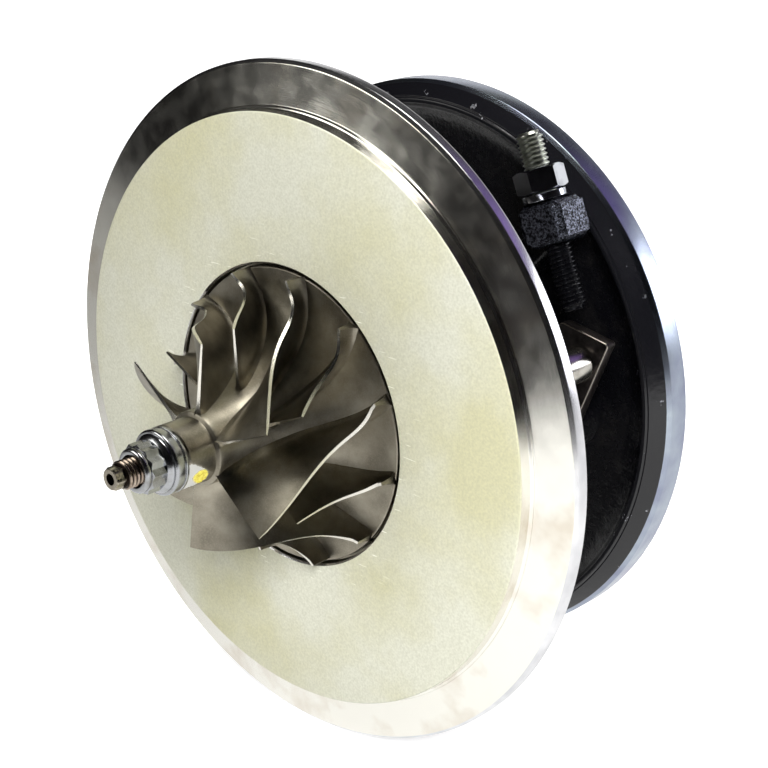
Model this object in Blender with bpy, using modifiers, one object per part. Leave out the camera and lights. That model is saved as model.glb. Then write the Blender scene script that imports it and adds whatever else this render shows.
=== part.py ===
# Turbo cartridge: compressor and turbine wheels on one shaft, carried by the bearing
# housing, with the compressor backplate in front and the vane lever between the discs.
#
# Everything is modelled in the cartridge's own frame and hung on one empty. There, Z runs
# along the shaft towards the compressor nose, X points to the right and Y up. The empty
# lays that frame down, so the shaft lies along the world's Y, nose towards -Y.
# Z = 0 is the front plane of the backplate's flange ring.

import math

import bmesh
import bpy
from mathutils import Matrix, Vector

MM = 0.001

# Clearances
SEAT_GAP = 0.3 * MM
RUNNING_GAP = 0.3 * MM
RING_GAP = 0.15 * MM

# Compressor backplate
FLANGE_RADIUS = 80.0 * MM
FLANGE_THICKNESS = 3.8 * MM
FLANGE_CONE_RISE = 1.4 * MM
FLANGE_CHAMFER = 0.6 * MM
FACE_RADIUS = 69.3 * MM
FACE_HEIGHT = 4.8 * MM
FACE_DRAFT = 0.4 * MM
POCKET_RADIUS = 35.4 * MM
POCKET_DEPTH = 2.7 * MM
BACKPLATE_WEB = 6.2 * MM
BACKPLATE_RIM_DEPTH = 6.0 * MM
BACKPLATE_RIM_WIDTH = 7.0 * MM
BACKPLATE_RIM_DRAFT = 1.0 * MM
BACKPLATE_RIM_LAND = 4.0 * MM
BACKPLATE_RIM_SLOPE = 4.0 * MM
BACKPLATE_CONE_WIDTH = 8.0 * MM
BACKPLATE_HUB_RADIUS = 40.0 * MM
BACKPLATE_HUB_DEPTH = 12.0 * MM
SPIGOT_RADIUS = 21.9 * MM
SPIGOT_LENGTH = 4.0 * MM
SPIGOT_BORE_RADIUS = 12.2 * MM
SPIGOT_BORE_DEPTH = 8.2 * MM
SEAL_BORE_RADIUS = 8.3 * MM
O_RING_RADIUS = 0.9 * MM
O_RING_GROOVE_DEPTH = 1.9 * MM
O_RING_GROOVE_WIDTH = 2.4 * MM

# Compressor wheel
WHEEL_RADIUS = 34.7 * MM
WHEEL_DISC_FRONT = 4.4 * MM
WHEEL_DISC_THICKNESS = 1.4 * MM
WHEEL_BACK_HUB_RADIUS = 7.9 * MM
WHEEL_BACK_HUB_HEIGHT = 1.6 * MM
WHEEL_NOSE_HEIGHT = 36.5 * MM
WHEEL_NOSE_RADIUS = 7.4 * MM
WHEEL_HUB_INLET_RADIUS = 8.4 * MM
WHEEL_INLET_HEIGHT = 31.4 * MM
WHEEL_INDUCER_RADIUS = 24.9 * MM
WHEEL_TIP_WIDTH = 4.3 * MM
WHEEL_BLADE_PAIRS = 6
WHEEL_FIRST_BLADE = math.radians(-37.5)
WHEEL_ROOT_THICKNESS = 1.5 * MM
WHEEL_TIP_THICKNESS = 0.7 * MM
SPLITTER_START = 0.29
WHEEL_BALANCE_ANGLE = math.radians(-32.0)
WHEEL_BALANCE_DEPTH = 1.3 * MM
WHEEL_BALANCE_LENGTH = 4.6 * MM

# Turbine wheel
TURBINE_RADIUS = 28.6 * MM
TURBINE_BACK = -60.6 * MM
TURBINE_DISC_THICKNESS = 1.5 * MM
TURBINE_TIP_WIDTH = 7.6 * MM
TURBINE_LENGTH = 29.0 * MM
TURBINE_EXDUCER_RADIUS = 25.2 * MM
TURBINE_HUB_RADIUS = 8.2 * MM
TURBINE_NOSE_RADIUS = 7.2 * MM
TURBINE_NOSE_LENGTH = 2.6 * MM
TURBINE_BLADES = 10
TURBINE_TWIST = math.radians(44.0)
TURBINE_ROOT_THICKNESS = 2.0 * MM
TURBINE_TIP_THICKNESS = 1.2 * MM

# Shaft
JOURNAL_RADIUS = 4.6 * MM
STUB_RADIUS = 3.4 * MM
STUB_SHOULDER = -24.2 * MM
THREAD_END = 50.8 * MM
DRIVE_END = 54.8 * MM
DRIVE_RADIUS = 2.5 * MM
CENTRE_DRILL_RADIUS = 1.3 * MM
CENTRE_DRILL_DEPTH = 1.6 * MM
SEAL_COLLAR_RADIUS = 9.0 * MM
SEAL_COLLAR_FRONT = -52.5 * MM
PISTON_RING_WIDTH = 1.2 * MM
PISTON_GROOVE_DEPTH = 1.4 * MM

# Shaft nut
NUT_FLANGE_RADIUS = 7.4 * MM
NUT_FLANGE_HEIGHT = 4.2 * MM
NUT_SHOULDER_RADIUS = 6.4 * MM
NUT_SHOULDER_HEIGHT = 1.6 * MM
NUT_POINT_RADIUS = 5.7 * MM
NUT_POINT_HEIGHT = 3.8 * MM
NUT_COLLAR_RADIUS = 4.95 * MM
NUT_COLLAR_HEIGHT = 1.6 * MM

# Bearing housing
HOUSING_FRONT_RADIUS = 33.0 * MM
HOUSING_FRONT_THICKNESS = 6.0 * MM
EAR_STAND = 0.4 * MM
EAR_RADIUS = 7.5 * MM
NECK_RADIUS = 25.0 * MM
NECK_END = -35.5 * MM
NECK_FILLET = 1.0 * MM
NECK_FLARE_WIDTH = 2.5 * MM
NECK_FLARE_LENGTH = 4.0 * MM
SHOULDER_WIDTH = 9.0 * MM
SHOULDER_LENGTH = 7.4 * MM
RIDGE_WIDTH = 1.0 * MM
RIDGE_Z = -43.3 * MM
RIDGE_FILLET_WIDTH = 1.2 * MM
RIDGE_FILLET_DEPTH = 0.9 * MM
DISH_DEPTH = 3.0 * MM
DISH_WALL_WIDTH = 5.0 * MM
DISH_FLOOR_WIDTH = 11.0 * MM
DISH_FLOOR_RISE = 0.8 * MM
RIM_RADIUS = 69.4 * MM
RIM_FLANK_WIDTH = 3.6 * MM
RIM_FRONT = -47.4 * MM
RIM_THICKNESS = 6.1 * MM
RIM_CHAMFER = 0.4 * MM
REAR_RIM_WIDTH = 7.4 * MM
REAR_RECESS_DEPTH = 3.3 * MM
NOSE_RADIUS = 31.0 * MM
NOSE_END = -58.3 * MM
NOSE_CHAMFER = 2.2 * MM
NOSE_FOOT_WIDTH = 4.0 * MM
RECESS_STEP_WIDTH = 7.9 * MM
RECESS_STEP_Z = -21.8 * MM
RECESS_END = -24.3 * MM
BEARING_BORE_RADIUS = 7.9 * MM
TURBINE_SEAL_BORE_RADIUS = 9.3 * MM
TURBINE_SEAL_BORE_START = -52.2 * MM
PORT_Z = -29.0 * MM
INLET_BOSS_RADIUS = 9.5 * MM
INLET_PAD_HEIGHT = 37.0 * MM
INLET_BORE_RADIUS = 4.5 * MM
INLET_BORE_END = 20.0 * MM
FEED_RADIUS = 1.8 * MM
FEED_END = 6.5 * MM
DRAIN_PAD_HEIGHT = 37.0 * MM
DRAIN_PAD_THICKNESS = 8.0 * MM
DRAIN_PAD_LENGTH = 46.0 * MM
DRAIN_PAD_WIDTH = 21.0 * MM
DRAIN_NECK_RADIUS = 12.0 * MM
DRAIN_BORE_RADIUS = 8.0 * MM
DRAIN_BORE_END = 12.6 * MM
RETURN_RADIUS = 1.4 * MM
RETURN_Z = -36.9 * MM
DRAIN_SCREW_SPACING = 34.0 * MM
DRAIN_SCREW_HOLE_RADIUS = 3.4 * MM
DRAIN_SCREW_HOLE_DEPTH = 12.0 * MM

# Backplate screws, from behind
SCREW_CIRCLE_RADIUS = 31.8 * MM
SCREW_COUNT = 4
SCREW_FIRST_ANGLE = math.radians(45.0)
SCREW_RADIUS = 2.5 * MM
SCREW_LENGTH = 13.0 * MM
SCREW_HEAD_ACROSS_FLATS = 8.0 * MM
SCREW_HEAD_HEIGHT = 3.6 * MM

# Inside the housing
BUSH_LENGTH = 8.5 * MM
BUSH_OIL_HOLE_RADIUS = 0.9 * MM
SNAP_RING_THICKNESS = 1.2 * MM
SNAP_RING_INNER_RADIUS = 5.8 * MM
FIRST_SNAP_RING_TOP = -25.0 * MM
LAST_SNAP_RING_INSET = 1.5 * MM
THRUST_FACE_RADIUS = 9.5 * MM
THRUST_WAIST_RADIUS = 6.2 * MM
THRUST_FACE_THICKNESS = 2.0 * MM
THRUST_BEARING_THICKNESS = 3.8 * MM
THRUST_RELIEF_RADIUS = 12.5 * MM
THRUST_RELIEF_DEPTH = 0.6 * MM
DEFLECTOR_THICKNESS = 1.0 * MM
DEFLECTOR_HOLE_RADIUS = 10.3 * MM
FLINGER_BODY_RADIUS = 8.0 * MM
FLINGER_LIP_RADIUS = 11.4 * MM
FLINGER_LIP_THICKNESS = 1.3 * MM
THRUST_PIN_RADIUS = 1.5 * MM
THRUST_PIN_INSET = 3.7 * MM
THRUST_PIN_LENGTH = 4.6 * MM

# Heat shield
SHIELD_SHEET = 0.8 * MM
SHIELD_HOLE_RADIUS = 11.0 * MM
SHIELD_BRIM_WIDTH = 3.2 * MM
SHIELD_SEAT = -52.0 * MM

# Stop screw on the flange, in the plane of the lever
STOP_TOP_X = 35.8 * MM
STOP_TOP_Y = 64.5 * MM
STOP_ANGLE = math.radians(-68.4)
STOP_RADIUS = 3.0 * MM
STOP_LENGTH = 40.0 * MM
STOP_ABOVE_NUT = 8.0 * MM
STOP_NUT_ACROSS_FLATS = 10.0 * MM
STOP_NUT_HEIGHT = 5.2 * MM
STOP_NUT_BORE_RADIUS = 3.3 * MM
STOP_WASHER_HEIGHT = 1.5 * MM
STOP_WASHER_RADIUS = 5.0 * MM
STOP_WASHER_SPLIT = 0.9 * MM
STOP_NUT_TURN = math.radians(-44.3)
STOP_BOSS_LENGTH = 9.8 * MM
STOP_BOSS_WIDTH = 12.4 * MM
STOP_BOSS_FRONT = -31.0 * MM
STOP_BOSS_DEPTH = 10.6 * MM
STOP_BOSS_ROUNDING = 1.6 * MM
RIB_THICKNESS = 7.0 * MM
RIB_TOP = -38.0 * MM
RIB_BEYOND_SCREW = 2.0 * MM
RIB_SINK = 1.9 * MM

# Vane lever
LEVER_PIVOT_X = 42.0 * MM
LEVER_PIVOT_Y = -2.0 * MM
LEVER_FRONT = -34.0 * MM
LEVER_THICKNESS = 3.0 * MM
LEVER_HUB_RADIUS = 8.7 * MM
LEVER_CORNER_X = 61.0 * MM
LEVER_CORNER_Y = 21.9 * MM
LEVER_TOP_LENGTH = 13.5 * MM
LEVER_TOP_SLOPE = math.radians(169.5)
LEVER_CORNER_RADIUS = 1.0 * MM
LEVER_PIN_X = 54.0 * MM
LEVER_PIN_Y = 16.3 * MM
LEVER_PIN_RADIUS = 4.2 * MM
LEVER_PIN_LENGTH = 12.5 * MM
LEVER_PIN_SHANK_RADIUS = 2.4 * MM
LEVER_PIN_GROOVE_DEPTH = 0.6 * MM
LEVER_SHAFT_RADIUS = 3.5 * MM
LEVER_SHAFT_STAND = 1.2 * MM
LEVER_BUSH_RADIUS = 5.2 * MM
LEVER_BOSS_RADIUS = 8.4 * MM
LEVER_BOSS_FRONT = -39.5 * MM
CRANK_THICKNESS = 3.0 * MM
CRANK_HUB_RADIUS = 6.0 * MM
CRANK_TIP_RADIUS = 4.2 * MM
CRANK_CLEARANCE = 1.0 * MM
CRANK_ANGLE = math.radians(8.0)
CRANK_FINGER_RADIUS = 2.4 * MM
CRANK_FINGER_LENGTH = 3.6 * MM

# Facets round a turned piece
DISC_STEPS = 48
BODY_STEPS = 40
WHEEL_STEPS = 32
BORE_STEPS = 32
SLEEVE_STEPS = 24
SMALL_STEPS = 16

# Sizes and places that follow from the ones above
RIDGE_RADIUS = RIM_RADIUS - RIM_FLANK_WIDTH - RIDGE_WIDTH
REAR_RECESS_RADIUS = RIM_RADIUS - REAR_RIM_WIDTH
THRUST_PIN_CIRCLE_RADIUS = SPIGOT_RADIUS - THRUST_PIN_INSET
RECESS_STEP_RADIUS = SPIGOT_RADIUS - RECESS_STEP_WIDTH
CRANK_REACH = REAR_RECESS_RADIUS - math.hypot(LEVER_PIVOT_X, LEVER_PIVOT_Y)
CRANK_LENGTH = CRANK_REACH - CRANK_TIP_RADIUS - CRANK_CLEARANCE
POCKET_FLOOR = FACE_HEIGHT - POCKET_DEPTH
BACKPLATE_REAR = -BACKPLATE_HUB_DEPTH
SPIGOT_END = BACKPLATE_REAR - SPIGOT_LENGTH
HOUSING_FRONT = BACKPLATE_REAR - SEAT_GAP
HOUSING_RECESS_RADIUS = SPIGOT_RADIUS + SEAT_GAP
EAR_REAR = HOUSING_FRONT - HOUSING_FRONT_THICKNESS
RIM_REAR = RIM_FRONT - RIM_THICKNESS
REAR_FLOOR = RIM_REAR + REAR_RECESS_DEPTH
WHEEL_DISC_BACK = WHEEL_DISC_FRONT - WHEEL_DISC_THICKNESS
WHEEL_BACK = WHEEL_DISC_BACK - WHEEL_BACK_HUB_HEIGHT
SHAFT_HOLE_RADIUS = STUB_RADIUS + SEAT_GAP
THRUST_BEARING_REAR = RECESS_STEP_Z + SEAT_GAP
THRUST_BEARING_FRONT = THRUST_BEARING_REAR + THRUST_BEARING_THICKNESS
DEFLECTOR_REAR = THRUST_BEARING_FRONT + SEAT_GAP
COLLAR_FRONT = THRUST_BEARING_FRONT + RUNNING_GAP
COLLAR_FACE = THRUST_BEARING_REAR - RUNNING_GAP
FLINGER_REAR = COLLAR_FRONT + SEAT_GAP
FLINGER_FRONT = WHEEL_BACK - SEAT_GAP
STOP_Z = LEVER_FRONT - LEVER_THICKNESS / 2
STOP_NUT_START = STOP_ABOVE_NUT
STOP_WASHER_START = STOP_NUT_START + STOP_NUT_HEIGHT + SEAT_GAP
STOP_BOSS_START = STOP_WASHER_START + STOP_WASHER_HEIGHT + SEAT_GAP


# Scene and object helpers

def clear_scene():
    for old in list(bpy.data.objects):
        bpy.data.objects.remove(old, do_unlink=True)


def new_collection(name):
    collection = bpy.data.collections.new(name)
    bpy.context.scene.collection.children.link(collection)
    return collection


def new_empty(name, parent=None, location=(0.0, 0.0, 0.0), turn=(0.0, 0.0, 0.0)):
    empty = bpy.data.objects.new(name, None)
    empty.parent = parent
    empty.location = location
    empty.rotation_euler = turn
    parts.objects.link(empty)
    return empty


def new_material(name, colour, roughness, metallic):
    material = bpy.data.materials.new(name)
    material.use_nodes = True
    shader = material.node_tree.nodes["Principled BSDF"]
    shader.inputs["Base Color"].default_value = (*colour, 1.0)
    shader.inputs["Roughness"].default_value = roughness
    shader.inputs["Metallic"].default_value = metallic
    material.diffuse_color = (*colour, 1.0)
    return material


def add_part(name, mesh, material, parent):
    part = bpy.data.objects.new(name, mesh)
    mesh.materials.append(material)
    part.parent = parent
    parts.objects.link(part)
    return part


def add_cutter(name, mesh, parent):
    cutter = bpy.data.objects.new(name, mesh)
    cutter.parent = parent
    cutter.hide_render = True
    cutter.display_type = "WIRE"
    cutters.objects.link(cutter)
    return cutter


def place(item, location, turn=(0.0, 0.0, 0.0)):
    item.location = location
    item.rotation_euler = turn
    return item


def boolean(part, tool, operation):
    modifier = part.modifiers.new(tool.name, "BOOLEAN")
    modifier.operation = operation
    modifier.solver = "EXACT"
    modifier.object = tool


def cut(part, tool):
    boolean(part, tool, "DIFFERENCE")


def join(part, tool):
    boolean(part, tool, "UNION")


# Shape helpers

def profile_mesh(name, profile, closed):
    """An outline of (radius, height) points in the XZ plane, as edges only."""
    bm = bmesh.new()
    verts = [bm.verts.new((radius, 0.0, height)) for radius, height in profile]
    for first, second in zip(verts, verts[1:]):
        bm.edges.new((first, second))
    if closed:
        bm.edges.new((verts[-1], verts[0]))
    mesh = bpy.data.meshes.new(name)
    bm.to_mesh(mesh)
    bm.free()
    return mesh


def spin(item, steps):
    screw = item.modifiers.new("Turned", "SCREW")
    screw.axis = "Z"
    screw.angle = math.tau
    screw.steps = steps
    screw.render_steps = steps
    screw.use_merge_vertices = True
    screw.merge_threshold = 0.00001
    screw.use_smooth_shade = True
    return item


def turned_part(name, profile, steps, material, parent, closed=True):
    """A turned piece. Its outline runs down the outer side from the top."""
    mesh = profile_mesh(name, profile, closed)
    return spin(add_part(name, mesh, material, parent), steps)


def turned_cutter(name, profile, steps, parent, closed=False):
    mesh = profile_mesh(name, profile, closed)
    return spin(add_cutter(name, mesh, parent), steps)


def rod_cutter(name, radius, top, bottom, steps, parent):
    profile = [(0.0, top), (radius, top), (radius, bottom), (0.0, bottom)]
    return turned_cutter(name, profile, steps, parent)


def ring_profile(inner, outer, top, bottom):
    return [(inner, top), (outer, top), (outer, bottom), (inner, bottom)]


def block_mesh(name, size, bevel=0.0):
    bm = bmesh.new()
    bmesh.ops.create_cube(bm, size=1.0)
    bmesh.ops.scale(bm, vec=size, verts=bm.verts)
    if bevel:
        bmesh.ops.bevel(bm, geom=bm.edges[:], offset=bevel, segments=2, affect="EDGES",
                        profile=0.5, material=-1)
    mesh = bpy.data.meshes.new(name)
    bm.to_mesh(mesh)
    bm.free()
    return mesh


def prism_mesh(name, sides, radius, bottom, top, valley=1.0, turn=0.0):
    """An upright prism. With a valley below 1, every second corner is drawn in."""
    bm = bmesh.new()
    bmesh.ops.create_cone(bm, cap_ends=True, segments=sides, radius1=radius,
                          radius2=radius, depth=top - bottom)
    bmesh.ops.rotate(bm, verts=bm.verts, matrix=Matrix.Rotation(turn, 3, "Z"))
    bmesh.ops.translate(bm, vec=(0.0, 0.0, (top + bottom) / 2), verts=bm.verts)
    if valley < 1.0:
        sector = math.tau / sides
        for vert in bm.verts:
            corner = round(math.atan2(vert.co.y, vert.co.x) / sector)
            if corner % 2:
                vert.co.x *= valley
                vert.co.y *= valley
    mesh = bpy.data.meshes.new(name)
    bm.to_mesh(mesh)
    bm.free()
    return mesh


def arc_points(centre, radius, start, end, count):
    """Points on an arc, from the start angle to the end angle."""
    points = []
    for step in range(count + 1):
        angle = start + (end - start) * step / count
        points.append((centre[0] + radius * math.cos(angle),
                       centre[1] + radius * math.sin(angle)))
    return points


def plate_mesh(name, outline, thickness):
    """A flat plate of the outline, centred on its own mid plane."""
    curve = bpy.data.curves.new(name, "CURVE")
    curve.dimensions = "2D"
    curve.fill_mode = "BOTH"
    curve.extrude = thickness / 2
    spline = curve.splines.new("POLY")
    spline.points.add(len(outline) - 1)
    for point, (x, y) in zip(spline.points, outline):
        point.co = (x, y, 0.0, 1.0)
    spline.use_cyclic_u = True
    guide = bpy.data.objects.new(name + "_outline", curve)
    bpy.context.scene.collection.objects.link(guide)
    depsgraph = bpy.context.evaluated_depsgraph_get()
    mesh = bpy.data.meshes.new_from_object(guide.evaluated_get(depsgraph))
    mesh.name = name
    bpy.data.objects.remove(guide, do_unlink=True)
    bm = bmesh.new()
    bm.from_mesh(mesh)
    bmesh.ops.remove_doubles(bm, verts=bm.verts, dist=0.000001)
    bmesh.ops.recalc_face_normals(bm, faces=bm.faces)
    bm.to_mesh(mesh)
    bm.free()
    return mesh


# Blades of both wheels

def between(first, second, share):
    return first + (second - first) * share


def meridian(share, inlet, rim, fullness):
    """A point (radius, height) on a quarter arc from an axial inlet to a radial rim."""
    turn = share * math.pi / 2
    radius = rim[0] - (rim[0] - inlet[0]) * math.cos(turn) ** fullness
    height = inlet[1] + (rim[1] - inlet[1]) * math.sin(turn)
    return radius, height


def blade_point(share, span, hub, shroud, wrap):
    """A point on the blade's middle surface, span 0 at the hub and 1 at the shroud."""
    hub_radius, hub_height = hub(share)
    shroud_radius, shroud_height = shroud(share)
    radius = between(hub_radius, shroud_radius, span)
    height = between(hub_height, shroud_height, span)
    angle = wrap(share)
    return Vector((radius * math.cos(angle), radius * math.sin(angle), height))


def blade_normal(share, span, hub, shroud, wrap):
    step = 0.002
    low = max(share - step, 0.0)
    high = min(share + step, 1.0)
    along = (blade_point(high, span, hub, shroud, wrap)
             - blade_point(low, span, hub, shroud, wrap))
    across = (blade_point(share, 1.0, hub, shroud, wrap)
              - blade_point(share, 0.0, hub, shroud, wrap))
    return along.cross(across).normalized()


def add_blade(bm, stations, hub, shroud, wrap, root_thickness, tip_thickness, root_depth):
    """A closed blade shell whose root reaches into the hub."""
    columns = []
    for share in stations:
        height = (blade_point(share, 1.0, hub, shroud, wrap)
                  - blade_point(share, 0.0, hub, shroud, wrap)).length
        column = []
        for span in (-root_depth / height, 0.5, 1.0):
            middle = blade_point(share, span, hub, shroud, wrap)
            normal = blade_normal(share, span, hub, shroud, wrap)
            half = between(root_thickness, tip_thickness, max(span, 0.0)) / 2
            if share in (stations[0], stations[-1]):
                half *= 0.7
            column.append((bm.verts.new(middle + normal * half),
                           bm.verts.new(middle - normal * half)))
        columns.append(column)
    last = len(columns[0]) - 1
    for left, right in zip(columns, columns[1:]):
        for low in range(last):
            bm.faces.new((left[low][0], right[low][0], right[low + 1][0], left[low + 1][0]))
            bm.faces.new((left[low + 1][1], right[low + 1][1], right[low][1], left[low][1]))
        bm.faces.new((left[last][0], right[last][0], right[last][1], left[last][1]))
        bm.faces.new((left[0][1], right[0][1], right[0][0], left[0][0]))
    for column, flip in ((columns[0], False), (columns[-1], True)):
        for low in range(last):
            corners = [column[low][0], column[low + 1][0], column[low + 1][1], column[low][1]]
            if flip:
                corners.reverse()
            bm.faces.new(corners)


def compressor_hub(share):
    inlet = (WHEEL_HUB_INLET_RADIUS, WHEEL_INLET_HEIGHT)
    rim = (WHEEL_RADIUS - 0.2 * MM, WHEEL_DISC_FRONT)
    return meridian(share, inlet, rim, 0.85)


def compressor_shroud(share):
    inlet = (WHEEL_INDUCER_RADIUS, WHEEL_INLET_HEIGHT)
    rim = (WHEEL_RADIUS - 0.2 * MM, WHEEL_DISC_FRONT + WHEEL_TIP_WIDTH)
    return meridian(share, inlet, rim, 0.65)


def compressor_wrap(share):
    """Blade angle: steep at the inlet, nearly radial in the middle, swept back at the rim."""
    return math.radians(162.0 * share - 200.0 * share ** 2 + 96.6 * share ** 3)


def turbine_hub(share):
    outlet = (TURBINE_HUB_RADIUS, TURBINE_BACK - TURBINE_LENGTH)
    rim = (TURBINE_RADIUS - 0.2 * MM, TURBINE_BACK - TURBINE_DISC_THICKNESS)
    return meridian(share, outlet, rim, 0.95)


def turbine_shroud(share):
    outlet = (TURBINE_EXDUCER_RADIUS, TURBINE_BACK - TURBINE_LENGTH)
    inlet = TURBINE_BACK - TURBINE_DISC_THICKNESS - TURBINE_TIP_WIDTH
    return meridian(share, outlet, (TURBINE_RADIUS - 0.2 * MM, inlet), 0.5)


def turbine_wrap(share):
    """Blade angle: radial at the inlet, twisted towards the outlet."""
    return TURBINE_TWIST * (1.0 - share) ** 2


def blade_set(name, mesh_parent, starts, stations_of, hub, shroud, wrap, thicknesses):
    bm = bmesh.new()
    for number, start in enumerate(starts):
        add_blade(bm, stations_of(number), hub, shroud,
                  lambda share, start=start: start + wrap(share), *thicknesses, 0.8 * MM)
    bmesh.ops.recalc_face_normals(bm, faces=bm.faces)
    mesh = bpy.data.meshes.new(name)
    bm.to_mesh(mesh)
    bm.free()
    return add_cutter(name, mesh, mesh_parent)


# Pieces of the rotor

def build_compressor_wheel():
    profile = [(SHAFT_HOLE_RADIUS, WHEEL_NOSE_HEIGHT), (WHEEL_NOSE_RADIUS, WHEEL_NOSE_HEIGHT)]
    for share in (0.0, 0.14, 0.28, 0.42, 0.56, 0.7, 0.84):
        profile.append(compressor_hub(share))
    profile += [(WHEEL_RADIUS, WHEEL_DISC_FRONT), (WHEEL_RADIUS, WHEEL_DISC_BACK),
                (WHEEL_BACK_HUB_RADIUS, WHEEL_DISC_BACK), (WHEEL_BACK_HUB_RADIUS, WHEEL_BACK),
                (SHAFT_HOLE_RADIUS, WHEEL_BACK)]
    wheel = turned_part("compressor_wheel", profile, WHEEL_STEPS, aluminium, rotor_axis)
    full = (0.0, 0.07, 0.15, 0.25, 0.38, 0.54, 0.7, 0.85, 1.0)
    splitter = (SPLITTER_START, 0.38, 0.54, 0.7, 0.85, 1.0)
    count = 2 * WHEEL_BLADE_PAIRS
    starts = [WHEEL_FIRST_BLADE + math.tau * number / count for number in range(count)]
    blades = blade_set("compressor_blades", rotor_axis, starts,
                       lambda number: splitter if number % 2 else full,
                       compressor_hub, compressor_shroud, compressor_wrap,
                       (WHEEL_ROOT_THICKNESS, WHEEL_TIP_THICKNESS))
    join(wheel, blades)
    flat = add_cutter("balance_flat", block_mesh("balance_flat", (
        4 * WHEEL_BALANCE_DEPTH, 2 * WHEEL_NOSE_RADIUS, WHEEL_BALANCE_LENGTH)), rotor_axis)
    reach = WHEEL_NOSE_RADIUS + WHEEL_BALANCE_DEPTH
    place(flat, (reach * math.cos(WHEEL_BALANCE_ANGLE), reach * math.sin(WHEEL_BALANCE_ANGLE),
                 WHEEL_NOSE_HEIGHT - WHEEL_BALANCE_LENGTH / 2 + 0.1 * MM),
          (0.0, 0.0, WHEEL_BALANCE_ANGLE))
    cut(wheel, flat)
    return wheel


def build_turbine_wheel_and_shaft():
    groove_top = (TURBINE_BACK + SEAL_COLLAR_FRONT) / 2 + PISTON_RING_WIDTH / 2 + RUNNING_GAP
    groove_bottom = groove_top - PISTON_RING_WIDTH - 2 * RUNNING_GAP
    groove_radius = SEAL_COLLAR_RADIUS - PISTON_GROOVE_DEPTH
    nose = TURBINE_BACK - TURBINE_LENGTH
    profile = [(0.0, THREAD_END), (STUB_RADIUS - 0.3 * MM, THREAD_END),
               (STUB_RADIUS, THREAD_END - 0.3 * MM), (STUB_RADIUS, STUB_SHOULDER),
               (JOURNAL_RADIUS, STUB_SHOULDER), (JOURNAL_RADIUS, SEAL_COLLAR_FRONT),
               (SEAL_COLLAR_RADIUS, SEAL_COLLAR_FRONT), (SEAL_COLLAR_RADIUS, groove_top),
               (groove_radius, groove_top), (groove_radius, groove_bottom),
               (SEAL_COLLAR_RADIUS, groove_bottom), (SEAL_COLLAR_RADIUS, TURBINE_BACK),
               (TURBINE_RADIUS, TURBINE_BACK),
               (TURBINE_RADIUS, TURBINE_BACK - TURBINE_DISC_THICKNESS)]
    for share in (0.84, 0.68, 0.52, 0.36, 0.2, 0.0):
        profile.append(turbine_hub(share))
    profile += [(TURBINE_NOSE_RADIUS, nose - TURBINE_NOSE_LENGTH),
                (0.0, nose - TURBINE_NOSE_LENGTH)]
    wheel = turned_part("turbine_wheel_and_shaft", profile, SLEEVE_STEPS, nickel_alloy,
                        rotor_axis, closed=False)
    stations = (0.0, 0.1, 0.22, 0.38, 0.56, 0.78, 1.0)
    starts = [math.tau * number / TURBINE_BLADES for number in range(TURBINE_BLADES)]
    blades = blade_set("turbine_blades", rotor_axis, starts, lambda number: stations,
                       turbine_hub, turbine_shroud, turbine_wrap,
                       (TURBINE_ROOT_THICKNESS, TURBINE_TIP_THICKNESS))
    join(wheel, blades)
    drive = add_cutter("shaft_drive_end", prism_mesh(
        "shaft_drive_end", 6, DRIVE_RADIUS, THREAD_END - 0.5 * MM, DRIVE_END), rotor_axis)
    join(wheel, drive)
    drill = turned_cutter("shaft_centre_drill", [
        (0.0, DRIVE_END + CENTRE_DRILL_DEPTH), (2 * CENTRE_DRILL_RADIUS,
                                                DRIVE_END + CENTRE_DRILL_DEPTH),
        (0.0, DRIVE_END - CENTRE_DRILL_DEPTH)], SMALL_STEPS, rotor_axis)
    cut(wheel, drill)
    return wheel


def build_shaft_nut():
    bottom = WHEEL_NOSE_HEIGHT + SEAT_GAP
    flange_top = bottom + NUT_FLANGE_HEIGHT
    shoulder_top = flange_top + NUT_SHOULDER_HEIGHT
    points_top = shoulder_top + NUT_POINT_HEIGHT
    top = points_top + NUT_COLLAR_HEIGHT
    chamfer = 0.4 * MM
    profile = [(SHAFT_HOLE_RADIUS, top), (NUT_COLLAR_RADIUS - chamfer, top),
               (NUT_COLLAR_RADIUS, top - chamfer), (NUT_COLLAR_RADIUS, shoulder_top - chamfer),
               (NUT_SHOULDER_RADIUS - chamfer, shoulder_top - chamfer),
               (NUT_SHOULDER_RADIUS, flange_top), (NUT_FLANGE_RADIUS - chamfer, flange_top),
               (NUT_FLANGE_RADIUS, flange_top - chamfer), (NUT_FLANGE_RADIUS, bottom),
               (SHAFT_HOLE_RADIUS, bottom)]
    nut = turned_part("shaft_nut", profile, SLEEVE_STEPS, steel, rotor_axis)
    two_hexagons = math.cos(math.radians(30.0)) / math.cos(math.radians(15.0))
    body = add_cutter("shaft_nut_points", prism_mesh(
        "shaft_nut_points", 24, NUT_POINT_RADIUS, flange_top + 0.5 * MM, points_top,
        two_hexagons), rotor_axis)
    join(nut, body)
    bore = rod_cutter("shaft_nut_bore", SHAFT_HOLE_RADIUS, top + 1 * MM, bottom - 1 * MM,
                      SLEEVE_STEPS, rotor_axis)
    cut(nut, bore)
    return nut


def build_thrust_collar():
    rear = COLLAR_FACE - THRUST_FACE_THICKNESS
    profile = [(SHAFT_HOLE_RADIUS, COLLAR_FRONT), (THRUST_WAIST_RADIUS, COLLAR_FRONT),
               (THRUST_WAIST_RADIUS, COLLAR_FACE), (THRUST_FACE_RADIUS, COLLAR_FACE),
               (THRUST_FACE_RADIUS, rear), (SHAFT_HOLE_RADIUS, rear)]
    return turned_part("thrust_collar", profile, SLEEVE_STEPS, steel, rotor_axis)


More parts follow.
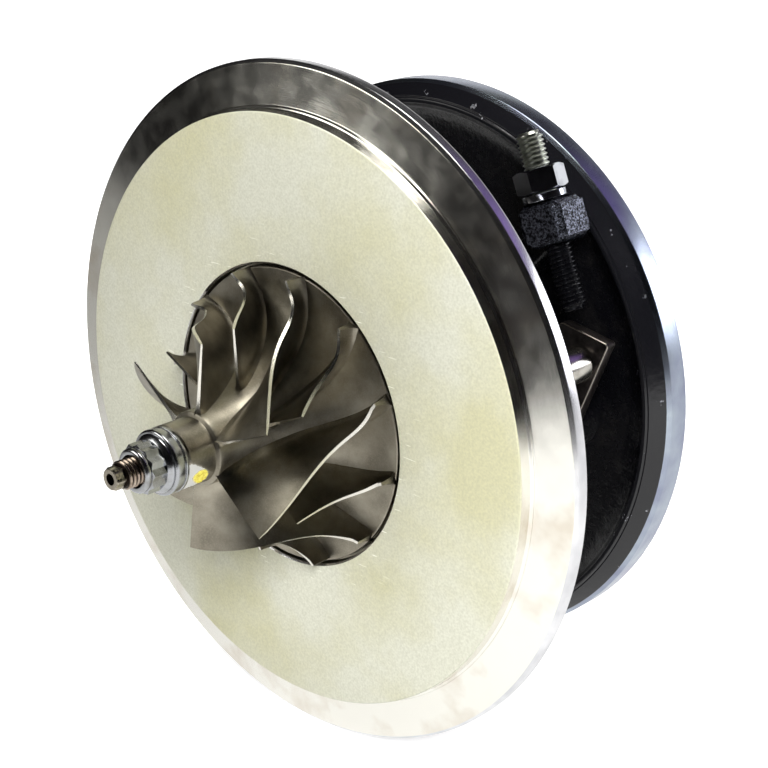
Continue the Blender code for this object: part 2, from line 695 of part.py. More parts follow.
def flinger_groove():
    """Top and bottom of the ring groove, in the middle of the backplate's seal bore."""
    middle = (POCKET_FLOOR - SPIGOT_BORE_DEPTH) / 2
    half = PISTON_RING_WIDTH / 2 + RUNNING_GAP
    return middle + half, middle - half


def build_flinger_sleeve():
    groove_top, groove_bottom = flinger_groove()
    groove_radius = FLINGER_BODY_RADIUS - PISTON_GROOVE_DEPTH
    lip_top = -SPIGOT_BORE_DEPTH - 2 * SEAT_GAP
    lip_bottom = lip_top - FLINGER_LIP_THICKNESS
    face_top = FLINGER_REAR + THRUST_FACE_THICKNESS
    profile = [(SHAFT_HOLE_RADIUS, FLINGER_FRONT), (FLINGER_BODY_RADIUS, FLINGER_FRONT),
               (FLINGER_BODY_RADIUS, groove_top), (groove_radius, groove_top),
               (groove_radius, groove_bottom), (FLINGER_BODY_RADIUS, groove_bottom),
               (FLINGER_BODY_RADIUS, lip_top), (FLINGER_LIP_RADIUS, lip_top),
               (FLINGER_LIP_RADIUS, lip_bottom), (FLINGER_BODY_RADIUS, lip_bottom),
               (FLINGER_BODY_RADIUS, face_top), (THRUST_FACE_RADIUS, face_top),
               (THRUST_FACE_RADIUS, FLINGER_REAR), (SHAFT_HOLE_RADIUS, FLINGER_REAR)]
    return turned_part("flinger_sleeve", profile, SLEEVE_STEPS, steel, rotor_axis)


# Fixed pieces round the shaft

def build_compressor_piston_ring():
    groove_top, groove_bottom = flinger_groove()
    profile = ring_profile(FLINGER_BODY_RADIUS - PISTON_GROOVE_DEPTH + RUNNING_GAP,
                           SEAL_BORE_RADIUS - RING_GAP, groove_top - RUNNING_GAP,
                           groove_bottom + RUNNING_GAP)
    ring = turned_part("compressor_piston_ring", profile, SLEEVE_STEPS, cast_steel, cartridge_axis)
    split_ring(ring, SEAL_BORE_RADIUS, (groove_top + groove_bottom) / 2, 0.0)
    return ring


def build_turbine_piston_ring():
    middle = (TURBINE_BACK + SEAL_COLLAR_FRONT) / 2
    profile = ring_profile(SEAL_COLLAR_RADIUS - PISTON_GROOVE_DEPTH + RUNNING_GAP,
                           TURBINE_SEAL_BORE_RADIUS - RING_GAP,
                           middle + PISTON_RING_WIDTH / 2, middle - PISTON_RING_WIDTH / 2)
    ring = turned_part("turbine_piston_ring", profile, SLEEVE_STEPS, cast_steel, cartridge_axis)
    split_ring(ring, TURBINE_SEAL_BORE_RADIUS, middle, math.pi)
    return ring


def split_ring(ring, radius, height, angle, gap=0.5 * MM):
    """Cuts the ring's joint gap at the given angle."""
    slot = add_cutter(ring.name + "_split", block_mesh(
        ring.name + "_split", (radius, gap, 4 * MM)), cartridge_axis)
    place(slot, (radius * math.cos(angle), radius * math.sin(angle), height),
          (0.0, 0.0, angle))
    cut(ring, slot)


def snap_ring_tops():
    """Top planes of the four snap rings, one at each end of each floating bush."""
    step = SNAP_RING_THICKNESS + BUSH_LENGTH + 2 * RUNNING_GAP
    last_top = SEAL_COLLAR_FRONT + LAST_SNAP_RING_INSET + SNAP_RING_THICKNESS
    return [FIRST_SNAP_RING_TOP, FIRST_SNAP_RING_TOP - step, last_top + step, last_top]


def build_snap_rings():
    for number, top in enumerate(snap_ring_tops(), start=1):
        profile = ring_profile(SNAP_RING_INNER_RADIUS, BEARING_BORE_RADIUS - RING_GAP, top,
                               top - SNAP_RING_THICKNESS)
        ring = turned_part(f"snap_ring_{number}", profile, SMALL_STEPS, spring_steel,
                           cartridge_axis)
        split_ring(ring, BEARING_BORE_RADIUS, top - SNAP_RING_THICKNESS / 2, math.pi / 2,
                   2.5 * MM)


def build_journal_bearing(name, front):
    profile = ring_profile(JOURNAL_RADIUS + RUNNING_GAP, BEARING_BORE_RADIUS - RUNNING_GAP,
                           front, front - BUSH_LENGTH)
    bush = turned_part(name, profile, SLEEVE_STEPS, bronze, rotor_axis)
    for number in range(3):
        angle = math.tau * number / 3
        hole = rod_cutter(f"{name}_oil_hole_{number}", BUSH_OIL_HOLE_RADIUS,
                          2 * BEARING_BORE_RADIUS, 0.0, 8, rotor_axis)
        place(hole, (0.0, 0.0, front - BUSH_LENGTH / 2), (0.0, math.pi / 2, angle))
        cut(bush, hole)
    return bush


def build_journal_bearings():
    fronts = [top - SNAP_RING_THICKNESS - RUNNING_GAP for top in snap_ring_tops()[::2]]
    build_journal_bearing("journal_bearing_compressor_side", fronts[0])
    build_journal_bearing("journal_bearing_turbine_side", fronts[1])


def build_thrust_bearing():
    inner = THRUST_WAIST_RADIUS + RUNNING_GAP
    relief_front = THRUST_BEARING_FRONT - THRUST_RELIEF_DEPTH
    relief_rear = THRUST_BEARING_REAR + THRUST_RELIEF_DEPTH
    profile = [(inner, THRUST_BEARING_FRONT), (THRUST_FACE_RADIUS, THRUST_BEARING_FRONT),
               (THRUST_FACE_RADIUS, relief_front), (THRUST_RELIEF_RADIUS, relief_front),
               (THRUST_RELIEF_RADIUS, THRUST_BEARING_FRONT),
               (SPIGOT_RADIUS, THRUST_BEARING_FRONT), (SPIGOT_RADIUS, THRUST_BEARING_REAR),
               (THRUST_RELIEF_RADIUS, THRUST_BEARING_REAR), (THRUST_RELIEF_RADIUS, relief_rear),
               (THRUST_FACE_RADIUS, relief_rear), (THRUST_FACE_RADIUS, THRUST_BEARING_REAR),
               (inner, THRUST_BEARING_REAR)]
    plate = turned_part("thrust_bearing", profile, BORE_STEPS, bronze, cartridge_axis)
    hole = rod_cutter("thrust_bearing_pin_hole", THRUST_PIN_RADIUS + SEAT_GAP,
                      THRUST_BEARING_FRONT + MM, THRUST_BEARING_REAR - MM, 16, cartridge_axis)
    cut(plate, place(hole, (0.0, THRUST_PIN_CIRCLE_RADIUS, 0.0)))
    return plate


def build_thrust_bearing_pin():
    top = THRUST_BEARING_FRONT - SEAT_GAP
    profile = [(0.0, top), (THRUST_PIN_RADIUS, top), (THRUST_PIN_RADIUS, top - THRUST_PIN_LENGTH),
               (0.0, top - THRUST_PIN_LENGTH)]
    pin = turned_part("thrust_bearing_pin", profile, 16, steel, cartridge_axis, closed=False)
    return place(pin, (0.0, THRUST_PIN_CIRCLE_RADIUS, 0.0))


def build_oil_deflector():
    profile = ring_profile(DEFLECTOR_HOLE_RADIUS, SPIGOT_RADIUS,
                           DEFLECTOR_REAR + DEFLECTOR_THICKNESS, DEFLECTOR_REAR)
    return turned_part("oil_deflector", profile, BORE_STEPS, sheet_steel, cartridge_axis)


def o_ring_height():
    return BACKPLATE_REAR - SPIGOT_LENGTH / 2


def build_backplate_o_ring():
    centre = (SPIGOT_RADIUS - O_RING_GROOVE_DEPTH + HOUSING_RECESS_RADIUS) / 2
    sides = 6
    profile = []
    for side in range(sides):
        angle = math.pi / 2 - math.tau * side / sides
        profile.append((centre + O_RING_RADIUS * math.cos(angle),
                        o_ring_height() + O_RING_RADIUS * math.sin(angle)))
    return turned_part("backplate_o_ring", profile, BORE_STEPS, rubber, cartridge_axis)


def build_heat_shield():
    front = NOSE_END - SEAT_GAP
    rear = front - SHIELD_SHEET
    skirt = NOSE_RADIUS + SEAT_GAP
    brim_front = SHIELD_SEAT - SEAT_GAP
    brim_rear = brim_front - SHIELD_SHEET
    corner = 2.4 * MM
    profile = [(skirt, brim_front), (skirt + SHIELD_BRIM_WIDTH, brim_front),
               (skirt + SHIELD_BRIM_WIDTH, brim_rear), (skirt + SHIELD_SHEET, brim_rear),
               (skirt + SHIELD_SHEET, rear + corner), (skirt + SHIELD_SHEET - corner, rear),
               (SHIELD_HOLE_RADIUS, rear), (SHIELD_HOLE_RADIUS, front),
               (skirt - corner, front), (skirt, front + corner)]
    return turned_part("heat_shield", profile, WHEEL_STEPS, sheet_steel, cartridge_axis)


# Compressor backplate

def build_compressor_backplate():
    foot = FACE_RADIUS + FACE_DRAFT
    rim_back = -FLANGE_THICKNESS
    rim_inner = FLANGE_RADIUS - BACKPLATE_RIM_WIDTH
    land_outer = rim_inner - BACKPLATE_RIM_DRAFT
    land_inner = land_outer - BACKPLATE_RIM_LAND
    web_rear = FACE_HEIGHT - BACKPLATE_WEB
    groove_radius = SPIGOT_RADIUS - O_RING_GROOVE_DEPTH
    groove_top = o_ring_height() + O_RING_GROOVE_WIDTH / 2
    groove_bottom = o_ring_height() - O_RING_GROOVE_WIDTH / 2
    profile = [(SEAL_BORE_RADIUS, POCKET_FLOOR), (POCKET_RADIUS, POCKET_FLOOR),
               (POCKET_RADIUS, FACE_HEIGHT), (FACE_RADIUS, FACE_HEIGHT),
               (foot, FLANGE_CONE_RISE), (FLANGE_RADIUS - FLANGE_CHAMFER, 0.0),
               (FLANGE_RADIUS, -FLANGE_CHAMFER), (FLANGE_RADIUS, rim_back),
               (rim_inner, rim_back), (land_outer, -BACKPLATE_RIM_DEPTH),
               (land_inner, -BACKPLATE_RIM_DEPTH),
               (land_inner - BACKPLATE_RIM_SLOPE, web_rear),
               (BACKPLATE_HUB_RADIUS + BACKPLATE_CONE_WIDTH, web_rear),
               (BACKPLATE_HUB_RADIUS, BACKPLATE_REAR + 3 * MM),
               (BACKPLATE_HUB_RADIUS - 1 * MM, BACKPLATE_REAR),
               (SPIGOT_RADIUS, BACKPLATE_REAR), (SPIGOT_RADIUS, groove_top),
               (groove_radius, groove_top), (groove_radius, groove_bottom),
               (SPIGOT_RADIUS, groove_bottom), (SPIGOT_RADIUS, SPIGOT_END),
               (SPIGOT_BORE_RADIUS, SPIGOT_END), (SPIGOT_BORE_RADIUS, -SPIGOT_BORE_DEPTH),
               (SEAL_BORE_RADIUS, -SPIGOT_BORE_DEPTH)]
    plate = turned_part("compressor_backplate", profile, DISC_STEPS, machined_aluminium,
                        cartridge_axis)
    for number in range(SCREW_COUNT):
        hole = rod_cutter(f"backplate_tapped_hole_{number}", SCREW_RADIUS + SEAT_GAP,
                          EAR_REAR + SCREW_LENGTH + MM, BACKPLATE_REAR - 2 * MM,
                          16, cartridge_axis)
        cut(plate, place(hole, screw_place(number)))
    return plate


def screw_place(number):
    angle = SCREW_FIRST_ANGLE + math.tau * number / SCREW_COUNT
    return (SCREW_CIRCLE_RADIUS * math.cos(angle), SCREW_CIRCLE_RADIUS * math.sin(angle), 0.0)


def build_backplate_screws():
    seat = EAR_REAR - SEAT_GAP
    head_end = seat - SCREW_HEAD_HEIGHT
    for number in range(SCREW_COUNT):
        name = f"backplate_screw_{number + 1}"
        profile = [(0.0, EAR_REAR + SCREW_LENGTH), (SCREW_RADIUS, EAR_REAR + SCREW_LENGTH),
                   (SCREW_RADIUS, seat - 0.5 * MM), (0.0, seat - 0.5 * MM)]
        screw = turned_part(name, profile, 16, zinc_steel, cartridge_axis, closed=False)
        corner_radius = SCREW_HEAD_ACROSS_FLATS / 2 / math.cos(math.radians(30.0))
        head = add_cutter(name + "_head", prism_mesh(
            name + "_head", 6, corner_radius, head_end, seat), cartridge_axis)
        place(screw, screw_place(number))
        place(head, screw_place(number))
        join(screw, head)


# Bearing housing

def build_bearing_housing():
    foot = RIDGE_RADIUS + RIDGE_WIDTH
    dish_wall = RIDGE_RADIUS - DISH_WALL_WIDTH
    dish_floor = RIDGE_Z - DISH_DEPTH
    profile = [(0.0, HOUSING_FRONT), (HOUSING_FRONT_RADIUS, HOUSING_FRONT),
               (HOUSING_FRONT_RADIUS, EAR_REAR + EAR_STAND),
               (NECK_RADIUS + NECK_FILLET, EAR_REAR + EAR_STAND),
               (NECK_RADIUS, EAR_REAR + EAR_STAND - NECK_FILLET), (NECK_RADIUS, NECK_END),
               (NECK_RADIUS + NECK_FLARE_WIDTH, NECK_END - NECK_FLARE_LENGTH),
               (NECK_RADIUS + SHOULDER_WIDTH, NECK_END - SHOULDER_LENGTH),
               (dish_wall - DISH_FLOOR_WIDTH, dish_floor + DISH_FLOOR_RISE),
               (dish_wall, dish_floor),
               (RIDGE_RADIUS - RIDGE_FILLET_WIDTH, RIDGE_Z - RIDGE_FILLET_DEPTH),
               (RIDGE_RADIUS, RIDGE_Z),
               (foot, RIDGE_Z), (RIM_RADIUS - RIM_CHAMFER, RIM_FRONT),
               (RIM_RADIUS, RIM_FRONT - RIM_CHAMFER), (RIM_RADIUS, RIM_REAR + RIM_CHAMFER),
               (RIM_RADIUS - RIM_CHAMFER, RIM_REAR), (REAR_RECESS_RADIUS, RIM_REAR),
               (REAR_RECESS_RADIUS, REAR_FLOOR), (NOSE_RADIUS + NOSE_FOOT_WIDTH, REAR_FLOOR),
               (NOSE_RADIUS + SHIELD_BRIM_WIDTH, SHIELD_SEAT), (NOSE_RADIUS, SHIELD_SEAT),
               (NOSE_RADIUS, NOSE_END + NOSE_CHAMFER), (NOSE_RADIUS - NOSE_CHAMFER, NOSE_END),
               (0.0, NOSE_END)]
    housing = turned_part("bearing_housing", profile, BODY_STEPS, painted_cast_iron,
                          cartridge_axis, closed=False)
    add_screw_ears(housing)
    add_oil_ports(housing)
    add_stop_boss(housing)
    add_lever_boss(housing)
    cut_bearing_bore(housing)
    return housing


def add_screw_ears(housing):
    for number in range(SCREW_COUNT):
        ear = rod_cutter(f"housing_ear_{number}", EAR_RADIUS, HOUSING_FRONT - 0.2 * MM,
                         EAR_REAR, SMALL_STEPS, cartridge_axis)
        join(housing, place(ear, screw_place(number)))
    for number in range(SCREW_COUNT):
        hole = rod_cutter(f"housing_ear_hole_{number}", SCREW_RADIUS + SEAT_GAP,
                          HOUSING_FRONT + 2 * MM, EAR_REAR - 4 * MM, 16, cartridge_axis)
        cut(housing, place(hole, screw_place(number)))


def add_oil_ports(housing):
    up = (-math.pi / 2, 0.0, 0.0)
    down = (math.pi / 2, 0.0, 0.0)
    at_port = (0.0, 0.0, PORT_Z)
    boss = rod_cutter("oil_inlet_boss", INLET_BOSS_RADIUS, INLET_PAD_HEIGHT, NECK_RADIUS / 2,
                      SLEEVE_STEPS, cartridge_axis)
    join(housing, place(boss, at_port, up))
    neck = rod_cutter("oil_drain_neck", DRAIN_NECK_RADIUS, DRAIN_PAD_HEIGHT - 2 * MM,
                      NECK_RADIUS / 2, SLEEVE_STEPS, cartridge_axis)
    join(housing, place(neck, at_port, down))
    pad = add_cutter("oil_drain_pad", block_mesh("oil_drain_pad", (
        DRAIN_PAD_LENGTH, DRAIN_PAD_THICKNESS, DRAIN_PAD_WIDTH), 1.5 * MM), cartridge_axis)
    join(housing, place(pad, (0.0, DRAIN_PAD_THICKNESS / 2 - DRAIN_PAD_HEIGHT, PORT_Z)))
    inlet = rod_cutter("oil_inlet_bore", INLET_BORE_RADIUS, INLET_PAD_HEIGHT + MM,
                       INLET_BORE_END, SMALL_STEPS, cartridge_axis)
    cut(housing, place(inlet, at_port, up))
    feed = rod_cutter("oil_feed", FEED_RADIUS, INLET_BORE_END + MM, FEED_END, 12,
                      cartridge_axis)
    cut(housing, place(feed, at_port, up))
    drain = rod_cutter("oil_drain_bore", DRAIN_BORE_RADIUS, DRAIN_PAD_HEIGHT + MM,
                       DRAIN_BORE_END, SMALL_STEPS, cartridge_axis)
    cut(housing, place(drain, at_port, down))
    back_flow = rod_cutter("oil_return", RETURN_RADIUS, DRAIN_BORE_END + 4 * MM, FEED_END, 12,
                           cartridge_axis)
    cut(housing, place(back_flow, (0.0, 0.0, RETURN_Z), down))
    for side in (-1, 1):
        hole = rod_cutter(f"oil_drain_screw_hole_{side + 1}", DRAIN_SCREW_HOLE_RADIUS,
                          DRAIN_PAD_HEIGHT + MM, DRAIN_PAD_HEIGHT - DRAIN_SCREW_HOLE_DEPTH, 16,
                          cartridge_axis)
        cut(housing, place(hole, (side * DRAIN_SCREW_SPACING / 2, 0.0, PORT_Z), down))


def stop_point(distance):
    """A point on the stop screw's axis, measured from its outer end."""
    return (STOP_TOP_X + distance * math.cos(STOP_ANGLE),
            STOP_TOP_Y + distance * math.sin(STOP_ANGLE), STOP_Z)


def stop_turn():
    """Turns a piece whose Z points out of the boss, along the stop screw's axis."""
    return (-math.pi / 2, 0.0, STOP_ANGLE + math.pi / 2)


def add_stop_boss(housing):
    boss = add_cutter("stop_screw_boss", block_mesh("stop_screw_boss", (
        STOP_BOSS_WIDTH, STOP_BOSS_DEPTH, STOP_BOSS_LENGTH), STOP_BOSS_ROUNDING),
        cartridge_axis)
    x, y, _ = stop_point(STOP_BOSS_START + STOP_BOSS_LENGTH / 2)
    join(housing, place(boss, (x, y, STOP_BOSS_FRONT - STOP_BOSS_DEPTH / 2), stop_turn()))
    rib_angle = math.atan2(y, x)
    outer = math.hypot(x, y) + RIB_BEYOND_SCREW
    inner = NECK_RADIUS - 2 * MM
    foot = RIDGE_Z - DISH_DEPTH - RIB_SINK
    rib = add_cutter("stop_boss_rib", block_mesh("stop_boss_rib", (
        outer - inner, RIB_THICKNESS, RIB_TOP - foot), 1.0 * MM), cartridge_axis)
    middle = (outer + inner) / 2
    join(housing, place(rib, (middle * math.cos(rib_angle), middle * math.sin(rib_angle),
                              (RIB_TOP + foot) / 2), (0.0, 0.0, rib_angle)))
    hole = rod_cutter("stop_screw_hole", STOP_RADIUS + SEAT_GAP, 4 * MM,
                      -STOP_BOSS_LENGTH - 4 * MM, SMALL_STEPS, cartridge_axis)
    cut(housing, place(hole, stop_point(STOP_BOSS_START), stop_turn()))


def add_lever_boss(housing):
    pivot = (LEVER_PIVOT_X, LEVER_PIVOT_Y, 0.0)
    boss = rod_cutter("lever_boss", LEVER_BOSS_RADIUS, LEVER_BOSS_FRONT, REAR_FLOOR + 2 * MM,
                      SLEEVE_STEPS, cartridge_axis)
    join(housing, place(boss, pivot))
    hole = rod_cutter("lever_boss_bore", LEVER_BUSH_RADIUS + SEAT_GAP, LEVER_BOSS_FRONT + MM,
                      REAR_FLOOR - MM, SMALL_STEPS, cartridge_axis)
    cut(housing, place(hole, pivot))


def cut_bearing_bore(housing):
    profile = [(0.0, HOUSING_FRONT + MM), (HOUSING_RECESS_RADIUS, HOUSING_FRONT + MM),
               (HOUSING_RECESS_RADIUS, RECESS_STEP_Z), (RECESS_STEP_RADIUS, RECESS_STEP_Z),
               (RECESS_STEP_RADIUS, RECESS_END), (BEARING_BORE_RADIUS, RECESS_END),
               (BEARING_BORE_RADIUS, TURBINE_SEAL_BORE_START),
               (TURBINE_SEAL_BORE_RADIUS, TURBINE_SEAL_BORE_START),
               (TURBINE_SEAL_BORE_RADIUS, NOSE_END - MM), (0.0, NOSE_END - MM)]
    cut(housing, turned_cutter("bearing_bore", profile, BORE_STEPS, cartridge_axis))
    pin_hole_top = RECESS_STEP_Z + MM
    pin_hole_end = THRUST_BEARING_FRONT - THRUST_PIN_LENGTH - 2 * SEAT_GAP
    pin_hole = rod_cutter("thrust_pin_hole", THRUST_PIN_RADIUS + SEAT_GAP, pin_hole_top,
                          pin_hole_end, 16, cartridge_axis)
    cut(housing, place(pin_hole, (0.0, THRUST_PIN_CIRCLE_RADIUS, 0.0)))


# Stop screw, its nut and washer

def build_stop_screw():
    chamfer = 0.5 * MM
    profile = [(0.0, 0.0), (STOP_RADIUS - chamfer, 0.0), (STOP_RADIUS, -chamfer),
               (STOP_RADIUS, chamfer - STOP_LENGTH), (STOP_RADIUS - chamfer, -STOP_LENGTH),
               (0.0, -STOP_LENGTH)]
    screw = turned_part("stop_screw", profile, SMALL_STEPS, zinc_steel, cartridge_axis,
                        closed=False)
    return place(screw, stop_point(0.0), stop_turn())


def build_stop_screw_nut():
    corner_radius = STOP_NUT_ACROSS_FLATS / 2 / math.cos(math.radians(30.0))
    nut = add_part("stop_screw_nut", prism_mesh(
        "stop_screw_nut", 6, corner_radius, -STOP_NUT_HEIGHT - MM, MM,
        turn=STOP_NUT_TURN + math.radians(30.0)), zinc_steel, cartridge_axis)
    place(nut, stop_point(STOP_NUT_START), stop_turn())
    inner = STOP_NUT_ACROSS_FLATS / 2 - 0.1 * MM
    outer = corner_radius + 1 * MM
    drop = (outer - inner) * math.tan(math.radians(30.0))
    body = turned_cutter("stop_nut_body", [
        (0.0, 0.0), (inner, 0.0), (outer, -drop), (outer, drop - STOP_NUT_HEIGHT),
        (inner, -STOP_NUT_HEIGHT), (0.0, -STOP_NUT_HEIGHT)], SMALL_STEPS, cartridge_axis)
    boolean(nut, place(body, stop_point(STOP_NUT_START), stop_turn()), "INTERSECT")
    bore = rod_cutter("stop_nut_bore", STOP_NUT_BORE_RADIUS, MM, -STOP_NUT_HEIGHT - MM,
                      SMALL_STEPS, cartridge_axis)
    cut(nut, place(bore, stop_point(STOP_NUT_START), stop_turn()))
    return nut


def build_stop_screw_washer():
    profile = ring_profile(STOP_NUT_BORE_RADIUS, STOP_WASHER_RADIUS, 0.0, -STOP_WASHER_HEIGHT)
    washer = turned_part("stop_screw_washer", profile, SMALL_STEPS, spring_steel,
                         cartridge_axis)
    place(washer, stop_point(STOP_WASHER_START), stop_turn())
    slot = add_cutter("stop_washer_split", block_mesh("stop_washer_split", (
        STOP_WASHER_SPLIT, STOP_WASHER_RADIUS, 4 * MM)), cartridge_axis)
    slot.parent = washer
    place(slot, (0.0, STOP_WASHER_RADIUS, -STOP_WASHER_HEIGHT / 2), (0.0, 0.35, 0.0))
    cut(washer, slot)
    return washer


# Vane lever, modelled about its own pivot

def tangent_angle(point, radius, side):
    """Angle, seen from the circle's centre, of the tangent from a point to the circle."""
    distance = math.hypot(*point)
    return math.atan2(point[1], point[0]) + side * math.acos(radius / distance)


def lever_outline():
    """Round hub, straight tangent sides and a wide top edge, counter-clockwise."""
    right = (LEVER_CORNER_X - LEVER_PIVOT_X, LEVER_CORNER_Y - LEVER_PIVOT_Y)
    left = (right[0] + LEVER_TOP_LENGTH * math.cos(LEVER_TOP_SLOPE),
            right[1] + LEVER_TOP_LENGTH * math.sin(LEVER_TOP_SLOPE))
    left_touch = tangent_angle(left, LEVER_HUB_RADIUS, 1)
    right_touch = tangent_angle(right, LEVER_HUB_RADIUS, -1)
    outline = arc_points((0.0, 0.0), LEVER_HUB_RADIUS, left_touch, right_touch + math.tau, 18)
    outline += rounded_corner(outline[-1], right, left)
    outline += rounded_corner(right, left, outline[0])
    return outline


def rounded_corner(before, corner, after):
    """Three points that round the corner off."""
    corner = Vector(corner)
    to_before = (Vector(before) - corner).normalized()
    to_after = (Vector(after) - corner).normalized()
    middle = (to_before + to_after) * 0.3
    return [tuple(corner + to_before * LEVER_CORNER_RADIUS),
            tuple(corner + middle * LEVER_CORNER_RADIUS),
            tuple(corner + to_after * LEVER_CORNER_RADIUS)]


def build_lever_arm():
    middle = LEVER_FRONT - LEVER_THICKNESS / 2
    arm = add_part("lever_arm", plate_mesh("lever_arm", lever_outline(), LEVER_THICKNESS),
                   dark_steel, lever_axis)
    place(arm, (0.0, 0.0, middle))
    for name, radius, x, y in (
            ("lever_arm_shaft_hole", LEVER_SHAFT_RADIUS, 0.0, 0.0),
            ("lever_arm_pin_hole", LEVER_PIN_SHANK_RADIUS, LEVER_PIN_X - LEVER_PIVOT_X,
             LEVER_PIN_Y - LEVER_PIVOT_Y)):
        hole = rod_cutter(name, radius + SEAT_GAP, LEVER_THICKNESS, -LEVER_THICKNESS,
                          SMALL_STEPS, lever_axis)
        cut(arm, place(hole, (x, y, middle)))
    return arm


def build_lever_pin():
    foot = LEVER_FRONT + SEAT_GAP
    top = foot + LEVER_PIN_LENGTH
    rear = LEVER_FRONT - LEVER_THICKNESS - SEAT_GAP
    head = rear - 1.0 * MM
    round_off = 0.9 * MM
    waist = LEVER_PIN_RADIUS - LEVER_PIN_GROOVE_DEPTH
    profile = [(0.0, top), (LEVER_PIN_RADIUS - round_off, top),
               (LEVER_PIN_RADIUS, top - round_off), (LEVER_PIN_RADIUS, top - 1.8 * MM),
               (waist, top - 1.8 * MM), (waist, top - 2.8 * MM),
               (LEVER_PIN_RADIUS, top - 2.8 * MM), (LEVER_PIN_RADIUS, foot + round_off),
               (LEVER_PIN_RADIUS - round_off, foot), (LEVER_PIN_SHANK_RADIUS, foot),
               (LEVER_PIN_SHANK_RADIUS, rear), (LEVER_PIN_SHANK_RADIUS + 0.9 * MM, rear),
               (LEVER_PIN_SHANK_RADIUS + 0.5 * MM, head), (0.0, head)]
    pin = turned_part("lever_pin", profile, SMALL_STEPS, steel, lever_axis, closed=False)
    return place(pin, (LEVER_PIN_X - LEVER_PIVOT_X, LEVER_PIN_Y - LEVER_PIVOT_Y, 0.0))


def build_lever_shaft():
    top = LEVER_FRONT + LEVER_SHAFT_STAND
    crank_front = REAR_FLOOR - RUNNING_GAP
    crank_rear = crank_front - CRANK_THICKNESS
    chamfer = 0.5 * MM
    profile = [(0.0, top), (LEVER_SHAFT_RADIUS - chamfer, top),
               (LEVER_SHAFT_RADIUS, top - chamfer), (LEVER_SHAFT_RADIUS, crank_rear + MM),
               (0.0, crank_rear + MM)]
    shaft = turned_part("lever_shaft", profile, SMALL_STEPS, dark_steel, lever_axis,
                        closed=False)
    tip = (CRANK_LENGTH * math.cos(CRANK_ANGLE), CRANK_LENGTH * math.sin(CRANK_ANGLE))
    lean = math.acos((CRANK_HUB_RADIUS - CRANK_TIP_RADIUS) / CRANK_LENGTH)
    outline = arc_points((0.0, 0.0), CRANK_HUB_RADIUS, CRANK_ANGLE + lean,
                         CRANK_ANGLE - lean + math.tau, 14)
    outline += arc_points(tip, CRANK_TIP_RADIUS, CRANK_ANGLE - lean, CRANK_ANGLE + lean, 8)
    crank = add_cutter("lever_crank", plate_mesh("lever_crank", outline, CRANK_THICKNESS),
                       lever_axis)
    join(shaft, place(crank, (0.0, 0.0, (crank_front + crank_rear) / 2)))
    finger = rod_cutter("lever_crank_finger", CRANK_FINGER_RADIUS, crank_front - MM,
                        crank_rear - CRANK_FINGER_LENGTH, 20, lever_axis)
    join(shaft, place(finger, (tip[0], tip[1], 0.0)))
    return shaft


def build_lever_bush():
    top = LEVER_FRONT - LEVER_THICKNESS - RUNNING_GAP
    bottom = REAR_FLOOR + SEAT_GAP
    profile = ring_profile(LEVER_SHAFT_RADIUS + RUNNING_GAP, LEVER_BUSH_RADIUS, top, bottom)
    bush = turned_part("lever_bush", profile, SMALL_STEPS, steel, cartridge_axis)
    return place(bush, (LEVER_PIVOT_X, LEVER_PIVOT_Y, 0.0))


clear_scene()
parts = new_collection("turbo_cartridge")
cutters = new_collection("cutters")

aluminium = new_material("blasted_cast_aluminium", (0.20, 0.18, 0.155), 0.45, 1.0)
machined_aluminium = new_material("machined_aluminium", (0.62, 0.61, 0.52), 0.4, 1.0)
steel = new_material("bright_steel", (0.50, 0.48, 0.45), 0.28, 1.0)
cast_steel = new_material("ring_steel", (0.25, 0.25, 0.26), 0.4, 1.0)
spring_steel = new_material("spring_steel", (0.16, 0.16, 0.17), 0.4, 1.0)
dark_steel = new_material("dark_oxide_steel", (0.05, 0.045, 0.045), 0.5, 0.8)
zinc_steel = new_material("zinc_plated_steel", (0.45, 0.46, 0.44), 0.35, 1.0)
sheet_steel = new_material("sheet_steel", (0.38, 0.37, 0.36), 0.4, 1.0)
nickel_alloy = new_material("nickel_alloy", (0.30, 0.28, 0.26), 0.45, 1.0)
bronze = new_material("bearing_bronze", (0.55, 0.38, 0.18), 0.35, 1.0)
rubber = new_material("seal_rubber", (0.02, 0.02, 0.02), 0.7, 0.0)
painted_cast_iron = new_material("painted_cast_iron", (0.012, 0.012, 0.014), 0.35, 0.0)

cartridge_axis = new_empty("cartridge_axis", turn=(math.pi / 2, 0.0, 0.0))
rotor_axis = new_empty("rotor_axis", cartridge_axis)
lever_axis = new_empty("lever_axis", cartridge_axis, (LEVER_PIVOT_X, LEVER_PIVOT_Y, 0.0))

build_compressor_backplate()
build_bearing_housing()
build_compressor_wheel()
build_turbine_wheel_and_shaft()
build_shaft_nut()
build_thrust_collar()
build_flinger_sleeve()
build_compressor_piston_ring()
build_turbine_piston_ring()
build_snap_rings()
build_journal_bearings()
build_thrust_bearing()
build_thrust_bearing_pin()
build_oil_deflector()
build_backplate_o_ring()
build_heat_shield()
build_backplate_screws()
build_stop_screw()
build_stop_screw_nut()
build_stop_screw_washer()
build_lever_arm()
build_lever_pin()
build_lever_shaft()
build_lever_bush()
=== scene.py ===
# Turbo cartridge, dressed for a product photograph.
#
# New pieces are modelled in cartridge millimetres: Z runs along the shaft towards the
# compressor nose, X points right and Y up, and Z = 0 is the flange ring's front plane.
# lay_down() turns that into the frame's metres, with the shaft along Y.

import math

import bmesh
import bpy
from mathutils import Matrix, Vector, noise


